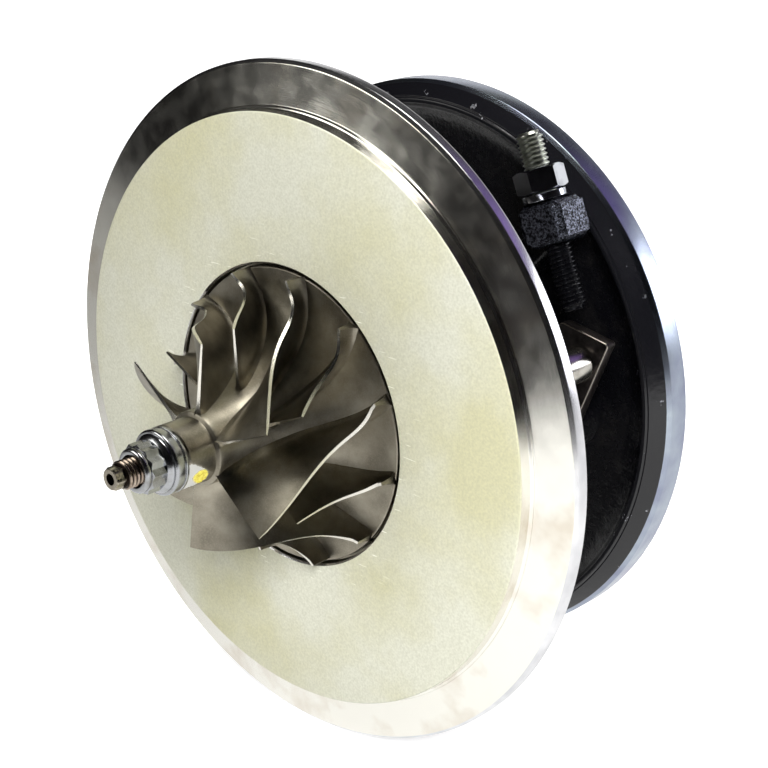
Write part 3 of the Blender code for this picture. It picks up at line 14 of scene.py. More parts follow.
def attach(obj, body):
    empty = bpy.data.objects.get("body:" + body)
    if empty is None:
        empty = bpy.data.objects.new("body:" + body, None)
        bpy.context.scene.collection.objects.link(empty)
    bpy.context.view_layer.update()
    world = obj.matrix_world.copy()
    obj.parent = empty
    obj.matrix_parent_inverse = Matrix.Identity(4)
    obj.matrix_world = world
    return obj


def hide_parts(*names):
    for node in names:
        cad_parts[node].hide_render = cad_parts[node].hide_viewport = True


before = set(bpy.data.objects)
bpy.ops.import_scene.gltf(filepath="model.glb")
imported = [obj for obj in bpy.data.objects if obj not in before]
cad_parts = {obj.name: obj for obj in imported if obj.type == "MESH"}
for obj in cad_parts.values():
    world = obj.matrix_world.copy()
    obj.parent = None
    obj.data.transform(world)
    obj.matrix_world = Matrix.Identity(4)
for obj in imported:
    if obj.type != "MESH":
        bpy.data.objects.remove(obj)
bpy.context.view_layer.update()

MM = 0.001
DISC_STEPS = 256
BODY_STEPS = 192
WHEEL_STEPS = 144
NUT_STEPS = 128
SMALL_STEPS = 64
THREAD_STEPS = 40
EASING_STEPS = 3

# Backplate

SEAL_BORE_RADIUS = 8.3
POCKET_RADIUS = 35.4
POCKET_FLOOR = 2.1
POCKET_CHAMFER = 0.45
FACE_RADIUS = 69.3
FACE_HEIGHT = 4.8
FLANGE_RADIUS = 80.0
FLANGE_BACK = -3.8
REAR_RIB_INNER = 68.0
REAR_RIB_OUTER = 72.0
REAR_RIB_BACK = -6.0
WEB_BACK = -1.4
BACKPLATE_HUB_RADIUS = 40.0
BACKPLATE_REAR = -12.0
SPIGOT_RADIUS = 21.9
SPIGOT_END = -16.0
O_RING_SEAT_RADIUS = 20.0
O_RING_TOP = -12.8
O_RING_BOTTOM = -15.2
DEFLECTOR_BORE_RADIUS = 12.2
DEFLECTOR_FLOOR = -8.2

# Compressor wheel

SHAFT_HOLE_RADIUS = 3.7
WHEEL_RADIUS = 34.7
WHEEL_BACK = 1.4
BACK_HUB_RADIUS = 7.9
DISC_BACK = 3.0
DISC_FRONT = 4.4
BLADE_RADIUS = 34.5
BLADE_TIP_WIDTH = 4.3
BLADE_INLET = 31.4
INDUCER_RADIUS = 24.9
INLET_HUB_RADIUS = 8.4
NOSE_RADIUS = 7.4
NOSE_FRONT = 39.2
WHEEL_BLADES = 12
WHEEL_ROOT_THICKNESS = 1.35
WHEEL_TIP_THICKNESS = 0.7
WHEEL_BLADE_GRID = (36, 14)
FIRST_BLADE = math.radians(-37.5)
SPLITTER_START = 0.29
BALANCE_ANGLE = math.radians(-32.0)
BALANCE_START = 33.4
BALANCE_SLOPE = 0.31
BALANCE_PAINT_RADIUS = 6.3
BALANCE_PAINT_HEIGHT = 34.2
BLADE_PAINT = (1.5, -30.2, 11.8)

# Shaft nut

NUT_FOOT = 39.4
NUT_FLANGE_RADIUS = 7.4
NUT_FLANGE_TOP = 42.8
NUT_SHOULDER_RADIUS = 6.6
NUT_SHOULDER_TOP = 44.1
NUT_POINTS_MIDDLE = 45.8
NUT_POINTS_HEIGHT = 3.9
NUT_ACROSS_FLATS = 9.9
NUT_COLLAR_RADIUS = 4.95
NUT_COLLAR_TOP = 49.0

# Shaft and turbine wheel

THREAD_RADIUS = 3.3
THREAD_PITCH = 1.0
THREAD_START = 46.0
THREAD_END = 52.6
THREAD_DEPTH = 0.58
THREAD_FLANK = 0.44
DRIVE_RADIUS = 3.0
DRIVE_START = 50.6
DRIVE_END = 54.8
DRIVE_ACROSS_FLATS = 4.5
CENTRE_HOLE_RADIUS = 1.3
CENTRE_HOLE_DEPTH = 1.8
STUB_RADIUS = 3.4
STUB_END = 46.2
JOURNAL_RADIUS = 4.6
JOURNAL_FRONT = -24.2
SEAL_COLLAR_RADIUS = 9.0
SEAL_COLLAR_FRONT = -52.5
SEAL_GROOVE_RADIUS = 7.6
SEAL_GROOVE_FRONT = -55.75
SEAL_GROOVE_BACK = -57.35
TURBINE_RADIUS = 28.6
TURBINE_BACK = -60.6
TURBINE_DISC_EDGE = -62.1
TURBINE_BLADE_RADIUS = 28.4
TURBINE_TIP_WIDTH = 7.6
TURBINE_OUTLET = -89.6
TURBINE_END = -92.2
EXDUCER_RADIUS = 25.2
TURBINE_HUB_RADIUS = 8.2
TURBINE_TWIST = math.radians(44.0)
TURBINE_BLADES = 10
TURBINE_ROOT_THICKNESS = 1.8
TURBINE_TIP_THICKNESS = 1.1
TURBINE_BLADE_GRID = (30, 12)

# Blades of both wheels

FILLET_WIDTH = 0.9
FILLET_HEIGHT = 0.8
ROW_CROWDING = 1.4
INLET_THINNING = 0.45
THINNED_SHARE = 0.012

# Bearing housing and its ports

RECESS_RADIUS = 22.2
BODY_RADIUS = 33.0
BODY_FRONT = -12.3
BODY_BACK = -17.9
NECK_RADIUS = 25.0
RIDGE_RADIUS = 64.8
RIDGE_FRONT = -43.3
RIM_RADIUS = 69.4
RIM_FRONT = -47.7
RIM_BACK = -53.5
REAR_RECESS_RADIUS = 62.0
REAR_FLOOR = -50.2
SHIELD_SEAT = -52.0
SHIELD_NOSE_RADIUS = 31.0
SHIELD_NOSE_END = -58.3
TURBINE_SEAL_BORE_RADIUS = 9.3
TURBINE_SEAL_BORE_FRONT = -52.2
BEARING_BORE_RADIUS = 7.9
BEARING_BORE_FRONT = -24.3
THRUST_RECESS_RADIUS = 14.0
THRUST_RECESS_FRONT = -21.8
SCREW_CIRCLE = 31.8
EAR_COUNT = 4
EAR_RADIUS = 7.5
EAR_HOLE_RADIUS = 2.8
EAR_FRONT = -12.5
EAR_BACK = -18.3
PORT_Z = -29.0
PORT_FACE = 37.0
PORT_BORE_END = 20.0
INLET_BORE_RADIUS = 4.5
INLET_BOSS_RADIUS = 9.5
INLET_BOSS_FOOT = 14.0
DRAIN_BORE_RADIUS = 8.0
DRAIN_NECK_RADIUS = 11.5
DRAIN_FOOT_RADIUS = 13.5
DRAIN_NECK_FOOT = 12.0
DRAIN_SCREW_SPACING = 34.0
DRAIN_SCREW_HOLE_RADIUS = 3.4
PAD_LENGTH = 46.0
PAD_WIDTH = 21.0
PAD_CORNER = 4.5
PAD_THICKNESS = 8.0

# Stop screw, measured from its top along its axis

STOP_TOP = Vector((35.8, 64.5, -35.5))
STOP_ANGLE = math.radians(-68.4)
STOP_RADIUS = 3.0
STOP_PITCH = 1.0
STOP_LENGTH = 40.0
# Distance from the screw's top beyond which it is coloured black as painted shade.
STOP_PAINTED_SHADE_FROM = 15.0
STOP_NUT_MIDDLE = 10.6
STOP_NUT_HEIGHT = 5.2
STOP_NUT_ACROSS_FLATS = 10.0
STOP_NUT_HOLE_RADIUS = 3.3
STOP_NUT_TURN = math.radians(-14.3)
STOP_WASHER_MIDDLE = 14.25
STOP_WASHER_HEIGHT = 1.5
STOP_WASHER_RADIUS = 5.0
STOP_BOSS_MIDDLE = 20.2
STOP_BOSS_SIZE = (12.4, 10.6, 9.8)
RIB_WIDTH = 7.0
RIB_DEPTH = 10.4
RIB_Z = -43.2

# Lever, its plate measured from the pivot

LEVER_PIVOT = Vector((42.0, -2.0, 0.0))
LEVER_BACK = -37.0
LEVER_THICKNESS = 3.0
LEVER_HUB_RADIUS = 8.7
LEVER_CORNER = Vector((19.0, 23.9))
LEVER_TOP_LENGTH = 13.5
LEVER_TOP_SLOPE = math.radians(169.5)
LEVER_BOSS_RADIUS = 8.4
LEVER_BOSS_FRONT = -39.5
LEVER_BOSS_BACK = -48.4
LEVER_BUSH_BORE_RADIUS = 5.3
LEVER_PIN = (54.0, 16.3, 0.0)
LEVER_PIN_RADIUS = 4.2
LEVER_PIN_FRONT = -21.2
LEVER_PIN_BACK = -33.7
LEVER_PIN_SHANK_RADIUS = 2.4

# Studio, in metres

FLOOR_PLACE = (-0.4, 1.13, -0.0802)
FLOOR_SIZE = (5.2, 2.94, 0.0)
ROOM_PLACE = (-0.4, 0.45, 0.66)
ROOM_SIZE = (5.4, 4.3, 1.6)
VIOLET_GLOW = (0.9, 1.5, 1.4)
CAMERA_PLACE = (0.27507, -0.26043, 0.14759)
CAMERA_VIEW = Vector((-0.647, 0.678, -0.3495))
CAMERA_LENS = 83.0


# Meshes

def lay_down(place):
    """Cartridge millimetres to the frame's metres."""
    return Matrix.Rotation(math.pi / 2, 4, "X") @ Matrix.Scale(MM, 4) @ place


def make_piece(name, bm, finishes, body, stands_for, place=None, crease=32.0):
    """Cleans the bmesh, lays it down in the frame and hangs it on its body."""
    bmesh.ops.remove_doubles(bm, verts=bm.verts, dist=0.0004)
    bmesh.ops.dissolve_degenerate(bm, edges=bm.edges, dist=0.0001)
    bmesh.ops.recalc_face_normals(bm, faces=bm.faces)
    bmesh.ops.transform(bm, matrix=lay_down(place or Matrix.Identity(4)), verts=bm.verts)
    mesh = bpy.data.meshes.new(name)
    bm.to_mesh(mesh)
    bm.free()
    for finish in finishes:
        mesh.materials.append(finish)
    mesh.shade_smooth()
    mesh.set_sharp_from_angle(angle=math.radians(crease))
    piece = bpy.data.objects.new(name, mesh)
    bpy.context.scene.collection.objects.link(piece)
    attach(piece, body)
    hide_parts(*stands_for)


def cast_piece(name, bm, finishes, place=None, crease=32.0):
    """A piece of the bearing housing's casting."""
    make_piece(name, bm, finishes, "cartridge", ["bearing_housing"],
               place, crease)


def eased(profile, default, closed):
    """The profile with each corner rounded. A third value sets a corner's own rounding."""
    points = []
    count = len(profile)
    for index, (radius, height, *own) in enumerate(profile):
        corner = Vector((radius, height))
        reach = own[0] if own else default
        at_end = not closed and index in (0, count - 1)
        if at_end or reach == 0.0:
            points.append(corner)
            continue
        before = Vector(profile[index - 1][:2])
        after = Vector(profile[(index + 1) % count][:2])
        start = corner.lerp(before, min(reach / (before - corner).length, 0.45))
        end = corner.lerp(after, min(reach / (after - corner).length, 0.45))
        for step in range(EASING_STEPS + 1):
            share = step / EASING_STEPS
            points.append(start.lerp(corner, share).lerp(corner.lerp(end, share), share))
    return points


def turned(profile, steps, easing=0.15, closed=True, turn=math.tau, rise=0.0):
    """A bmesh of the profile spun round Z."""
    bm = bmesh.new()
    points = eased(profile, easing, closed)
    verts = [bm.verts.new((point.x, 0.0, point.y)) for point in points]
    edges = [bm.edges.new(pair) for pair in zip(verts, verts[1:])]
    if closed:
        edges.append(bm.edges.new((verts[-1], verts[0])))
    full = turn == math.tau and rise == 0.0
    bmesh.ops.spin(bm, geom=verts + edges, cent=(0.0, 0.0, 0.0), axis=(0.0, 0.0, 1.0),
                   dvec=(0.0, 0.0, rise / steps), angle=turn, steps=steps,
                   use_merge=full, use_duplicate=False)
    return bm


def absorb(bm, other):
    """Adds another bmesh's faces to this one."""
    mesh = bpy.data.meshes.new("carrier")
    other.to_mesh(mesh)
    other.free()
    bm.from_mesh(mesh)
    bpy.data.meshes.remove(mesh)


def paint_faces(bm, rule):
    """Sets each face's finish from its centre's radius and height."""
    for face in bm.faces:
        centre = face.calc_center_median()
        face.material_index = rule(math.hypot(centre.x, centre.y), centre.z)


def flats(bm, beyond, across_flats, stars=1, chamfer=0.0, inner=0.0):
    """Moves the vertices beyond a radius out to a hexagon, or to two for a twelve-point."""
    for vert in bm.verts:
        if math.hypot(vert.co.x, vert.co.y) < beyond:
            continue
        angle = math.atan2(vert.co.y, vert.co.x)
        reach = 0.0
        for star in range(stars):
            offset = (angle + star * math.pi / 6) % (math.pi / 3) - math.pi / 6
            reach = max(reach, across_flats / 2 / math.cos(offset))
        vert.co.x = reach * math.cos(angle)
        vert.co.y = reach * math.sin(angle)
        drop = max(reach - inner, 0.0) * chamfer
        vert.co.z -= math.copysign(drop, vert.co.z)


def rounded_block(size, rounding, segments, roughness, cuts, seed):
    """A block with rounded edges and a skin as uneven as a casting's."""
    bm = bmesh.new()
    bmesh.ops.create_cube(bm, size=1.0)
    bmesh.ops.scale(bm, vec=size, verts=bm.verts)
    bmesh.ops.subdivide_edges(bm, edges=bm.edges[:], cuts=cuts, use_grid_fill=True)
    sharp = [edge for edge in bm.edges if edge.calc_face_angle(0.0) > 0.5]
    bmesh.ops.bevel(bm, geom=sharp, offset=rounding, segments=segments, affect="EDGES",
                    profile=0.5, material=-1)
    bm.normal_update()
    for vert in bm.verts:
        lump = noise.noise(vert.co * 0.55 + Vector((seed, 0.0, 0.0)))
        vert.co += vert.normal * lump * roughness
    return bm


def thread(radius, pitch, bottom, top, end_chamfer):
    """A threaded rod: a flat-topped helical ridge on a core, run out at both ends. The
    ridge's depth and flanks are shares of the pitch."""
    root = radius - THREAD_DEPTH * pitch
    crest = radius - 0.04
    turns = (top - bottom) / pitch - 1.0
    ridge = [(root, bottom, 0.0), (crest, bottom + THREAD_FLANK * pitch, 0.0),
             (crest, bottom + (1.0 - THREAD_FLANK) * pitch, 0.0), (root, bottom + pitch, 0.0)]
    steps = round(THREAD_STEPS * turns)
    bm = turned(ridge, steps, 0.0, closed=False, turn=math.tau * turns, rise=turns * pitch)
    for vert in bm.verts:
        reach = math.hypot(vert.co.x, vert.co.y)
        from_end = min(vert.co.z - bottom, top - vert.co.z)
        limit = root - 0.02 + max(from_end, 0.0) * (radius - root) / end_chamfer
        if reach > limit:
            vert.co.x *= limit / reach
            vert.co.y *= limit / reach
    skin = root + 0.015
    core = turned([(0.0, top), (root - 0.25, top), (skin, top - 0.25), (skin, bottom + 0.25),
                   (root - 0.25, bottom), (0.0, bottom)], THREAD_STEPS, 0.0, closed=False)
    absorb(bm, core)
    return bm


# Blades

def between(first, second, share):
    return first + (second - first) * share


def meridian(share, inlet, rim, fullness):
    """A point (radius, height) on a quarter arc from a blade's axial end to its rim."""
    turn = share * math.pi / 2
    return (rim[0] - (rim[0] - inlet[0]) * math.cos(turn) ** fullness,
            inlet[1] + (rim[1] - inlet[1]) * math.sin(turn))


def compressor_hub(share):
    return meridian(share, (INLET_HUB_RADIUS, BLADE_INLET), (BLADE_RADIUS, DISC_FRONT), 0.85)


def compressor_shroud(share):
    return meridian(share, (INDUCER_RADIUS, BLADE_INLET),
                    (BLADE_RADIUS, DISC_FRONT + BLADE_TIP_WIDTH), 0.65)


def compressor_wrap(share):
    """Blade angle: steep at the inlet, nearly radial in the middle, swept back at the rim."""
    return math.radians(162.0 * share - 200.0 * share ** 2 + 96.6 * share ** 3)


def turbine_hub(share):
    return meridian(share, (TURBINE_HUB_RADIUS, TURBINE_OUTLET),
                    (TURBINE_BLADE_RADIUS, TURBINE_DISC_EDGE), 0.95)


def turbine_shroud(share):
    return meridian(share, (EXDUCER_RADIUS, TURBINE_OUTLET),
                    (TURBINE_BLADE_RADIUS, TURBINE_DISC_EDGE - TURBINE_TIP_WIDTH), 0.5)


def turbine_wrap(share):
    """Blade angle: radial at the inlet, twisted towards the outlet."""
    return TURBINE_TWIST * (1.0 - share) ** 2


def blade_point(share, span, start, hub, shroud, wrap):
    """A point on the blade's middle surface, span 0 at the hub and 1 at the tip."""
    hub_radius, hub_height = hub(share)
    shroud_radius, shroud_height = shroud(share)
    angle = start + wrap(share)
    radius = between(hub_radius, shroud_radius, span)
    return Vector((radius * math.cos(angle), radius * math.sin(angle),
                   between(hub_height, shroud_height, span)))


def blade_normal(share, span, *shape):
    """The direction square to the blade's middle surface."""
    low, high = max(share - 0.002, 0.0), min(share + 0.002, 1.0)
    along = blade_point(high, span, *shape) - blade_point(low, span, *shape)
    across = blade_point(share, 1.0, *shape) - blade_point(share, 0.0, *shape)
    return along.cross(across).normalized()


def add_blade(bm, first, shape, root_thickness, tip_thickness, columns, rows):
    """Two warped grids, thicker at the root and thinner at the inlet, bridged at their
    edges. The tip and inlet edges get finish 1."""
    edges, machined = set(), set()
    for side in (-1.0, 1.0):
        skin = bmesh.ops.create_grid(bm, x_segments=columns, y_segments=rows, size=0.5)
        for vert in skin["verts"]:
            share = between(first, 1.0, vert.co.x + 0.5)
            height = (blade_point(share, 1.0, *shape) - blade_point(share, 0.0, *shape)).length
            span = between(-FILLET_WIDTH / height, 1.0, (vert.co.y + 0.5) ** ROW_CROWDING)
            if span > 0.999 or share < first + 0.001:
                machined.add(vert)
            half = between(root_thickness, tip_thickness, max(span, 0.0)) / 2
            half += FILLET_WIDTH * math.exp(-max(span, 0.0) * height / FILLET_HEIGHT)
            half *= 1.0 - INLET_THINNING * math.exp(-(share - first) / THINNED_SHARE)
            vert.co = (blade_point(share, span, *shape)
                       + blade_normal(share, span, *shape) * half * side)
        for vert in skin["verts"]:
            edges.update(edge for edge in vert.link_edges if edge.is_boundary)
    bridge = bmesh.ops.bridge_loops(bm, edges=list(edges))
    for face in bridge["faces"]:
        if all(vert in machined for vert in face.verts):
            face.material_index = 1


# Materials

def linear(code):
    """An sRGB hex value as linear RGBA."""
    values = [int(code[start:start + 2], 16) / 255 for start in (1, 3, 5)]
    return tuple(value / 12.92 if value <= 0.04045 else ((value + 0.055) / 1.055) ** 2.4
                 for value in values) + (1.0,)


def add_node(tree, kind, inputs=None, **settings):
    node = tree.nodes.new(kind)
    for name, value in settings.items():
        setattr(node, name, value)
    for name, value in (inputs or {}).items():
        if isinstance(value, bpy.types.NodeSocket):
            tree.links.new(value, node.inputs[name])
        else:
            node.inputs[name].default_value = value
    return node


def new_finish(name, colour, metallic, roughness):
    material = bpy.data.materials.new(name)
    material.use_nodes = True
    tree = material.node_tree
    shader = tree.nodes["Principled BSDF"]
    shader.inputs["Base Color"].default_value = linear(colour)
    shader.inputs["Metallic"].default_value = metallic
    shader.inputs["Roughness"].default_value = roughness
    material.diffuse_color = linear(colour)
    return material, tree, shader


def position(tree):
    return add_node(tree, "ShaderNodeTexCoord").outputs["Object"]


def grain(tree, size_mm, detail=3.0, rough=0.55, stretch=(1.0, 1.0, 1.0)):
    """Noise with features of the given size."""
    place = add_node(tree, "ShaderNodeMapping", {"Vector": position(tree), "Scale": stretch})
    texture = add_node(tree, "ShaderNodeTexNoise", {
        "Vector": place.outputs["Vector"], "Scale": 1.0 / (size_mm * MM), "Detail": detail,
        "Roughness": rough})
    return texture.outputs["Fac"]


def axis_radius(tree):
    """Distance in metres from the shaft's axis."""
    flat = add_node(tree, "ShaderNodeVectorMath", {0: position(tree), 1: (1.0, 0.0, 1.0)},
                    operation="MULTIPLY")
    length = add_node(tree, "ShaderNodeVectorMath", {0: flat.outputs["Vector"]},
                      operation="LENGTH")
    return length.outputs["Value"]


def lathe_rings(tree, spacing_mm):
    """Fine turning marks: noise that changes only with the radius."""
    texture = add_node(tree, "ShaderNodeTexNoise", {
        "W": axis_radius(tree), "Scale": 1.0 / (spacing_mm * MM), "Detail": 2.0},
        noise_dimensions="1D")
    return texture.outputs["Fac"]


def ramp(tree, value, low, high, start=0.0, end=1.0):
    node = add_node(tree, "ShaderNodeMapRange", {
        "Value": value, "From Min": low, "From Max": high, "To Min": start, "To Max": end},
        clamp=True)
    return node.outputs["Result"]


def maths(tree, operation, first, second=0.0):
    node = add_node(tree, "ShaderNodeMath", {0: first, 1: second}, operation=operation)
    return node.outputs["Value"]


def mix_colours(tree, share, first, second):
    """Colours given as hex text or as sockets, mixed by share."""
    values = [linear(value) if isinstance(value, str) else value for value in (first, second)]
    node = add_node(tree, "ShaderNodeMix", {0: share, 6: values[0], 7: values[1]},
                    data_type="RGBA")
    return node.outputs[2]


def near(tree, centre_mm, radius_mm, edge_mm):
    """1 within a radius of a point given in cartridge millimetres, with an uneven edge."""
    centre = lay_down(Matrix.Identity(4)) @ Vector(centre_mm)
    away = add_node(tree, "ShaderNodeVectorMath", {0: position(tree), 1: tuple(centre)},
                    operation="DISTANCE").outputs["Value"]
    ragged = maths(tree, "ADD", away, maths(tree, "MULTIPLY", grain(tree, 1.5), edge_mm * MM))
    return ramp(tree, ragged, (radius_mm + edge_mm) * MM, radius_mm * MM)


def set_colour(tree, shader, value):
    tree.links.new(value, shader.inputs["Base Color"])


def set_roughness(tree, shader, value):
    tree.links.new(value, shader.inputs["Roughness"])


def set_bump(tree, shader, height, depth_mm, strength=1.0):
    node = add_node(tree, "ShaderNodeBump", {
        "Height": height, "Strength": strength, "Distance": depth_mm * MM})
    tree.links.new(node.outputs["Normal"], shader.inputs["Normal"])


def blasted_face():
    """Bead-blasted aluminium: pale greenish cream, satin, with faint yellow clouds from
    handling, a fine sandy grain, and short bright scratches beside the wheel's pocket."""
    material, tree, shader = new_finish("bead_blasted_aluminium", "#DCDBC6", 0.4, 0.55)
    cloud = ramp(tree, grain(tree, 38.0, 4.0), 0.42, 0.66)
    speck = ramp(tree, grain(tree, 0.55, 2.0), 0.3, 0.7)
    colour = mix_colours(tree, cloud, "#E0E0D0", "#D5D2AE")
    colour = mix_colours(tree, maths(tree, "MULTIPLY", speck, 0.35), colour, "#A9A890")
    scratch = ramp(tree, grain(tree, 0.5, 1.0, 0.5, (0.12, 1.0, 1.0)), 0.70, 0.76)
    by_bore = ramp(tree, axis_radius(tree), 0.046, 0.036)
    colour = mix_colours(tree, maths(tree, "MULTIPLY", scratch, by_bore), colour, "#FFFFF2")
    set_colour(tree, shader, colour)
    set_roughness(tree, shader, ramp(tree, cloud, 0.0, 1.0, 0.52, 0.62))
    set_bump(tree, shader, grain(tree, 0.45, 3.0), 0.06, 0.8)
    return material


def polished_ring():
    """Turned and polished aluminium flange ring: mirror-like with fine turning lines."""
    material, tree, shader = new_finish("polished_aluminium", "#D9D3C4", 1.0, 0.16)
    rings = lathe_rings(tree, 0.35)
    stain = ramp(tree, grain(tree, 14.0, 4.0), 0.5, 0.72)
    set_colour(tree, shader, mix_colours(tree, maths(tree, "MULTIPLY", stain, 0.35),
                                         "#F2F0E8", "#B49A72"))
    set_roughness(tree, shader, ramp(tree, grain(tree, 5.0), 0.35, 0.7, 0.16, 0.24))
    set_bump(tree, shader, rings, 0.012, 0.6)
    return material


def machined_rim():
    """Turned edge of the aluminium disc: bright, with fine lines along the cut."""
    material, tree, shader = new_finish("turned_aluminium", "#E9E9EA", 1.0, 0.24)
    shade = ramp(tree, grain(tree, 9.0), 0.3, 0.7)
    set_colour(tree, shader, mix_colours(tree, shade, "#EFEFF0", "#CFCFD2"))
    set_bump(tree, shader, grain(tree, 0.3, 2.0, 0.5, (0.05, 1.0, 0.05)), 0.01, 0.6)
    return material


def blasted_wheel():
    """Shot-peened cast aluminium wheel: warm dark grey, satin, finely pitted, with a dab
    of yellow balancing paint on a lower blade."""
    material, tree, shader = new_finish("shot_peened_aluminium", "#7D786C", 1.0, 0.36)
    shade = ramp(tree, grain(tree, 7.0, 4.0), 0.3, 0.7)
    colour = mix_colours(tree, shade, "#A8A293", "#7A7467")
    speck = ramp(tree, grain(tree, 0.35, 2.0), 0.45, 0.75)
    colour = mix_colours(tree, maths(tree, "MULTIPLY", speck, 0.4), colour, "#ACA698")
    paint = near(tree, BLADE_PAINT, 1.8, 0.8)
    set_colour(tree, shader, mix_colours(tree, maths(tree, "MULTIPLY", paint, 0.8), colour,
                                         "#E6D23A"))
    tree.links.new(ramp(tree, paint, 0.0, 1.0, 1.0, 0.1), shader.inputs["Metallic"])
    set_roughness(tree, shader, ramp(tree, grain(tree, 3.0), 0.3, 0.7, 0.32, 0.44))
    set_bump(tree, shader, grain(tree, 0.4, 3.0), 0.05, 0.7)
    return material


def blade_edge():
    """Freshly turned blade edges: bright aluminium with the tool's marks."""
    material, tree, shader = new_finish("turned_blade_edge", "#E3E0D6", 1.0, 0.26)
    set_bump(tree, shader, grain(tree, 0.25, 2.0), 0.02, 0.5)
    return material


def balance_flat():
    """Freshly ground flat on the wheel's nose, its inner part marked with yellow paint."""
    material, tree, shader = new_finish("ground_balance_flat", "#D2D1CC", 1.0, 0.3)
    middle = (BALANCE_PAINT_RADIUS * math.cos(BALANCE_ANGLE),
              BALANCE_PAINT_RADIUS * math.sin(BALANCE_ANGLE), BALANCE_PAINT_HEIGHT)
    paint = near(tree, middle, 2.6, 0.5)
    streak = ramp(tree, grain(tree, 0.6, 2.0), 0.35, 0.65)
    yellow = mix_colours(tree, streak, "#C9B21C", "#F2E65A")
    set_colour(tree, shader, mix_colours(tree, paint, "#D2D1CC", yellow))
    tree.links.new(ramp(tree, paint, 0.0, 1.0, 1.0, 0.0), shader.inputs["Metallic"])
    set_roughness(tree, shader, ramp(tree, paint, 0.0, 1.0, 0.3, 0.18))
    set_bump(tree, shader, grain(tree, 0.2, 2.0, 0.5, (1.0, 1.0, 0.1)), 0.005, 0.6)
    return material


def turned_metal(name, colour, dark, roughness, spacing):
    """Bare metal off the lathe, with tool lines and slightly darker, oily patches."""
    material, tree, shader = new_finish(name, colour, 1.0, roughness)
    shade = ramp(tree, grain(tree, 4.0, 3.0), 0.5, 0.8)
    set_colour(tree, shader, mix_colours(tree, shade, colour, dark))
    set_roughness(tree, shader, ramp(tree, grain(tree, 2.0), 0.3, 0.7, roughness * 0.85,
                                     roughness * 1.2))
    lines = maths(tree, "ADD", lathe_rings(tree, spacing),
                  grain(tree, 0.3, 1.0, 0.5, (0.1, 1.0, 0.1)))
    set_bump(tree, shader, lines, 0.003, 0.6)
    return material


def shaft_thread_steel():
    """The shaft's thread: bronze-tinted steel, its roots painted near black as painted shade."""
    material, tree, shader = new_finish("thread_steel_with_painted_root_shade", "#A5978A", 1.0, 0.24)
    # Painted shade: the colour turns near black towards the thread's roots, where shade falls.
    root = ramp(tree, axis_radius(tree), 0.0031, 0.0028)
    shade = mix_colours(tree, ramp(tree, grain(tree, 1.5), 0.35, 0.7), "#B5A698", "#8D7C6E")
    set_colour(tree, shader, mix_colours(tree, root, shade, "#1E1713"))
    set_roughness(tree, shader, ramp(tree, root, 0.0, 1.0, 0.2, 0.5))
    return material


def black_casting():
    """Gloss black paint on rough cast iron: deep black, with the sand skin under it."""
    material, tree, shader = new_finish("gloss_black_paint_on_cast_iron", "#0C0C0E", 0.0, 0.2)
    shader.inputs["Specular IOR Level"].default_value = 0.35
    shader.inputs["Coat Weight"].default_value = 0.2
    shader.inputs["Coat Roughness"].default_value = 0.1
    dust = ramp(tree, grain(tree, 6.0, 5.0), 0.55, 0.85)
    set_colour(tree, shader, mix_colours(tree, maths(tree, "MULTIPLY", dust, 0.3), "#060608",
                                         "#22201E"))
    set_roughness(tree, shader, ramp(tree, grain(tree, 2.0, 4.0), 0.3, 0.7, 0.14, 0.36))
    skin = maths(tree, "ADD", maths(tree, "MULTIPLY", grain(tree, 2.6, 5.0, 0.65), 2.0),
                 grain(tree, 0.7, 2.0))
    set_bump(tree, shader, skin, 0.25, 0.55)
    return material


def rough_casting():
    """Coarse cast skin on the boss: its colour follows the bump, with painted shade in the
    hollows and lighter grey tops as painted glints.
    """
    material, tree, shader = new_finish("coarse_cast_skin_with_painted_shade", "#5A5C64", 0.9, 0.24)
    # Painted shade and highlight: the bump's own grain darkens the hollows and lightens the tops.
    painted_glint_and_shade = ramp(tree, grain(tree, 0.55, 3.0, 0.6), 0.42, 0.6)
    set_colour(tree, shader, mix_colours(tree, painted_glint_and_shade, "#1C1D22", "#757884"))
    set_bump(tree, shader, grain(tree, 0.55, 3.0, 0.6), 0.25, 0.9)
    return material


def painted_edge():
    """The black paint where it laps over machined iron, chipped to bare metal in places."""
    material, tree, shader = new_finish("chipped_black_paint", "#101013", 0.0, 0.22)
    chip = ramp(tree, grain(tree, 4.5, 5.0, 0.7), 0.665, 0.69)
    set_colour(tree, shader, mix_colours(tree, chip, "#0D0D10", "#B9BAC2"))
    tree.links.new(chip, shader.inputs["Metallic"])
    set_roughness(tree, shader, ramp(tree, chip, 0.0, 1.0, 0.2, 0.38))
    height = maths(tree, "SUBTRACT", grain(tree, 1.6, 3.0), chip)
    set_bump(tree, shader, height, 0.08, 0.7)
    return material


def machined_iron():
    """Machined edge of the cast iron flange: silver with a faint blue-violet tint."""
    material, tree, shader = new_finish("machined_cast_iron", "#B4BCC8", 1.0, 0.26)
    shade = ramp(tree, grain(tree, 12.0, 3.0), 0.35, 0.7)
    set_colour(tree, shader, mix_colours(tree, shade, "#AFB9C3", "#8A8FA6"))
    set_bump(tree, shader, grain(tree, 0.3, 2.0, 0.5, (0.05, 1.0, 0.05)), 0.015, 0.6)
    return material


def cast_alloy():
    """Investment-cast nickel alloy: dull grey-brown with a fine skin."""
    material, tree, shader = new_finish("cast_nickel_alloy", "#8C867C", 1.0, 0.45)
    shade = ramp(tree, grain(tree, 6.0, 4.0), 0.3, 0.7)
    set_colour(tree, shader, mix_colours(tree, shade, "#979086", "#777067"))
    set_bump(tree, shader, grain(tree, 0.5, 3.0), 0.05, 0.7)
    return material


def zinc_plate():
    """Bright zinc plating: pale, faintly greenish silver."""
    material, tree, shader = new_finish("zinc_plated_steel", "#C9CCC2", 1.0, 0.3)
    shade = ramp(tree, grain(tree, 2.0, 4.0), 0.35, 0.75)
    set_colour(tree, shader, mix_colours(tree, shade, "#D2D5CB", "#A5A79C"))
    set_bump(tree, shader, grain(tree, 0.25, 2.0), 0.01, 0.5)
    return material


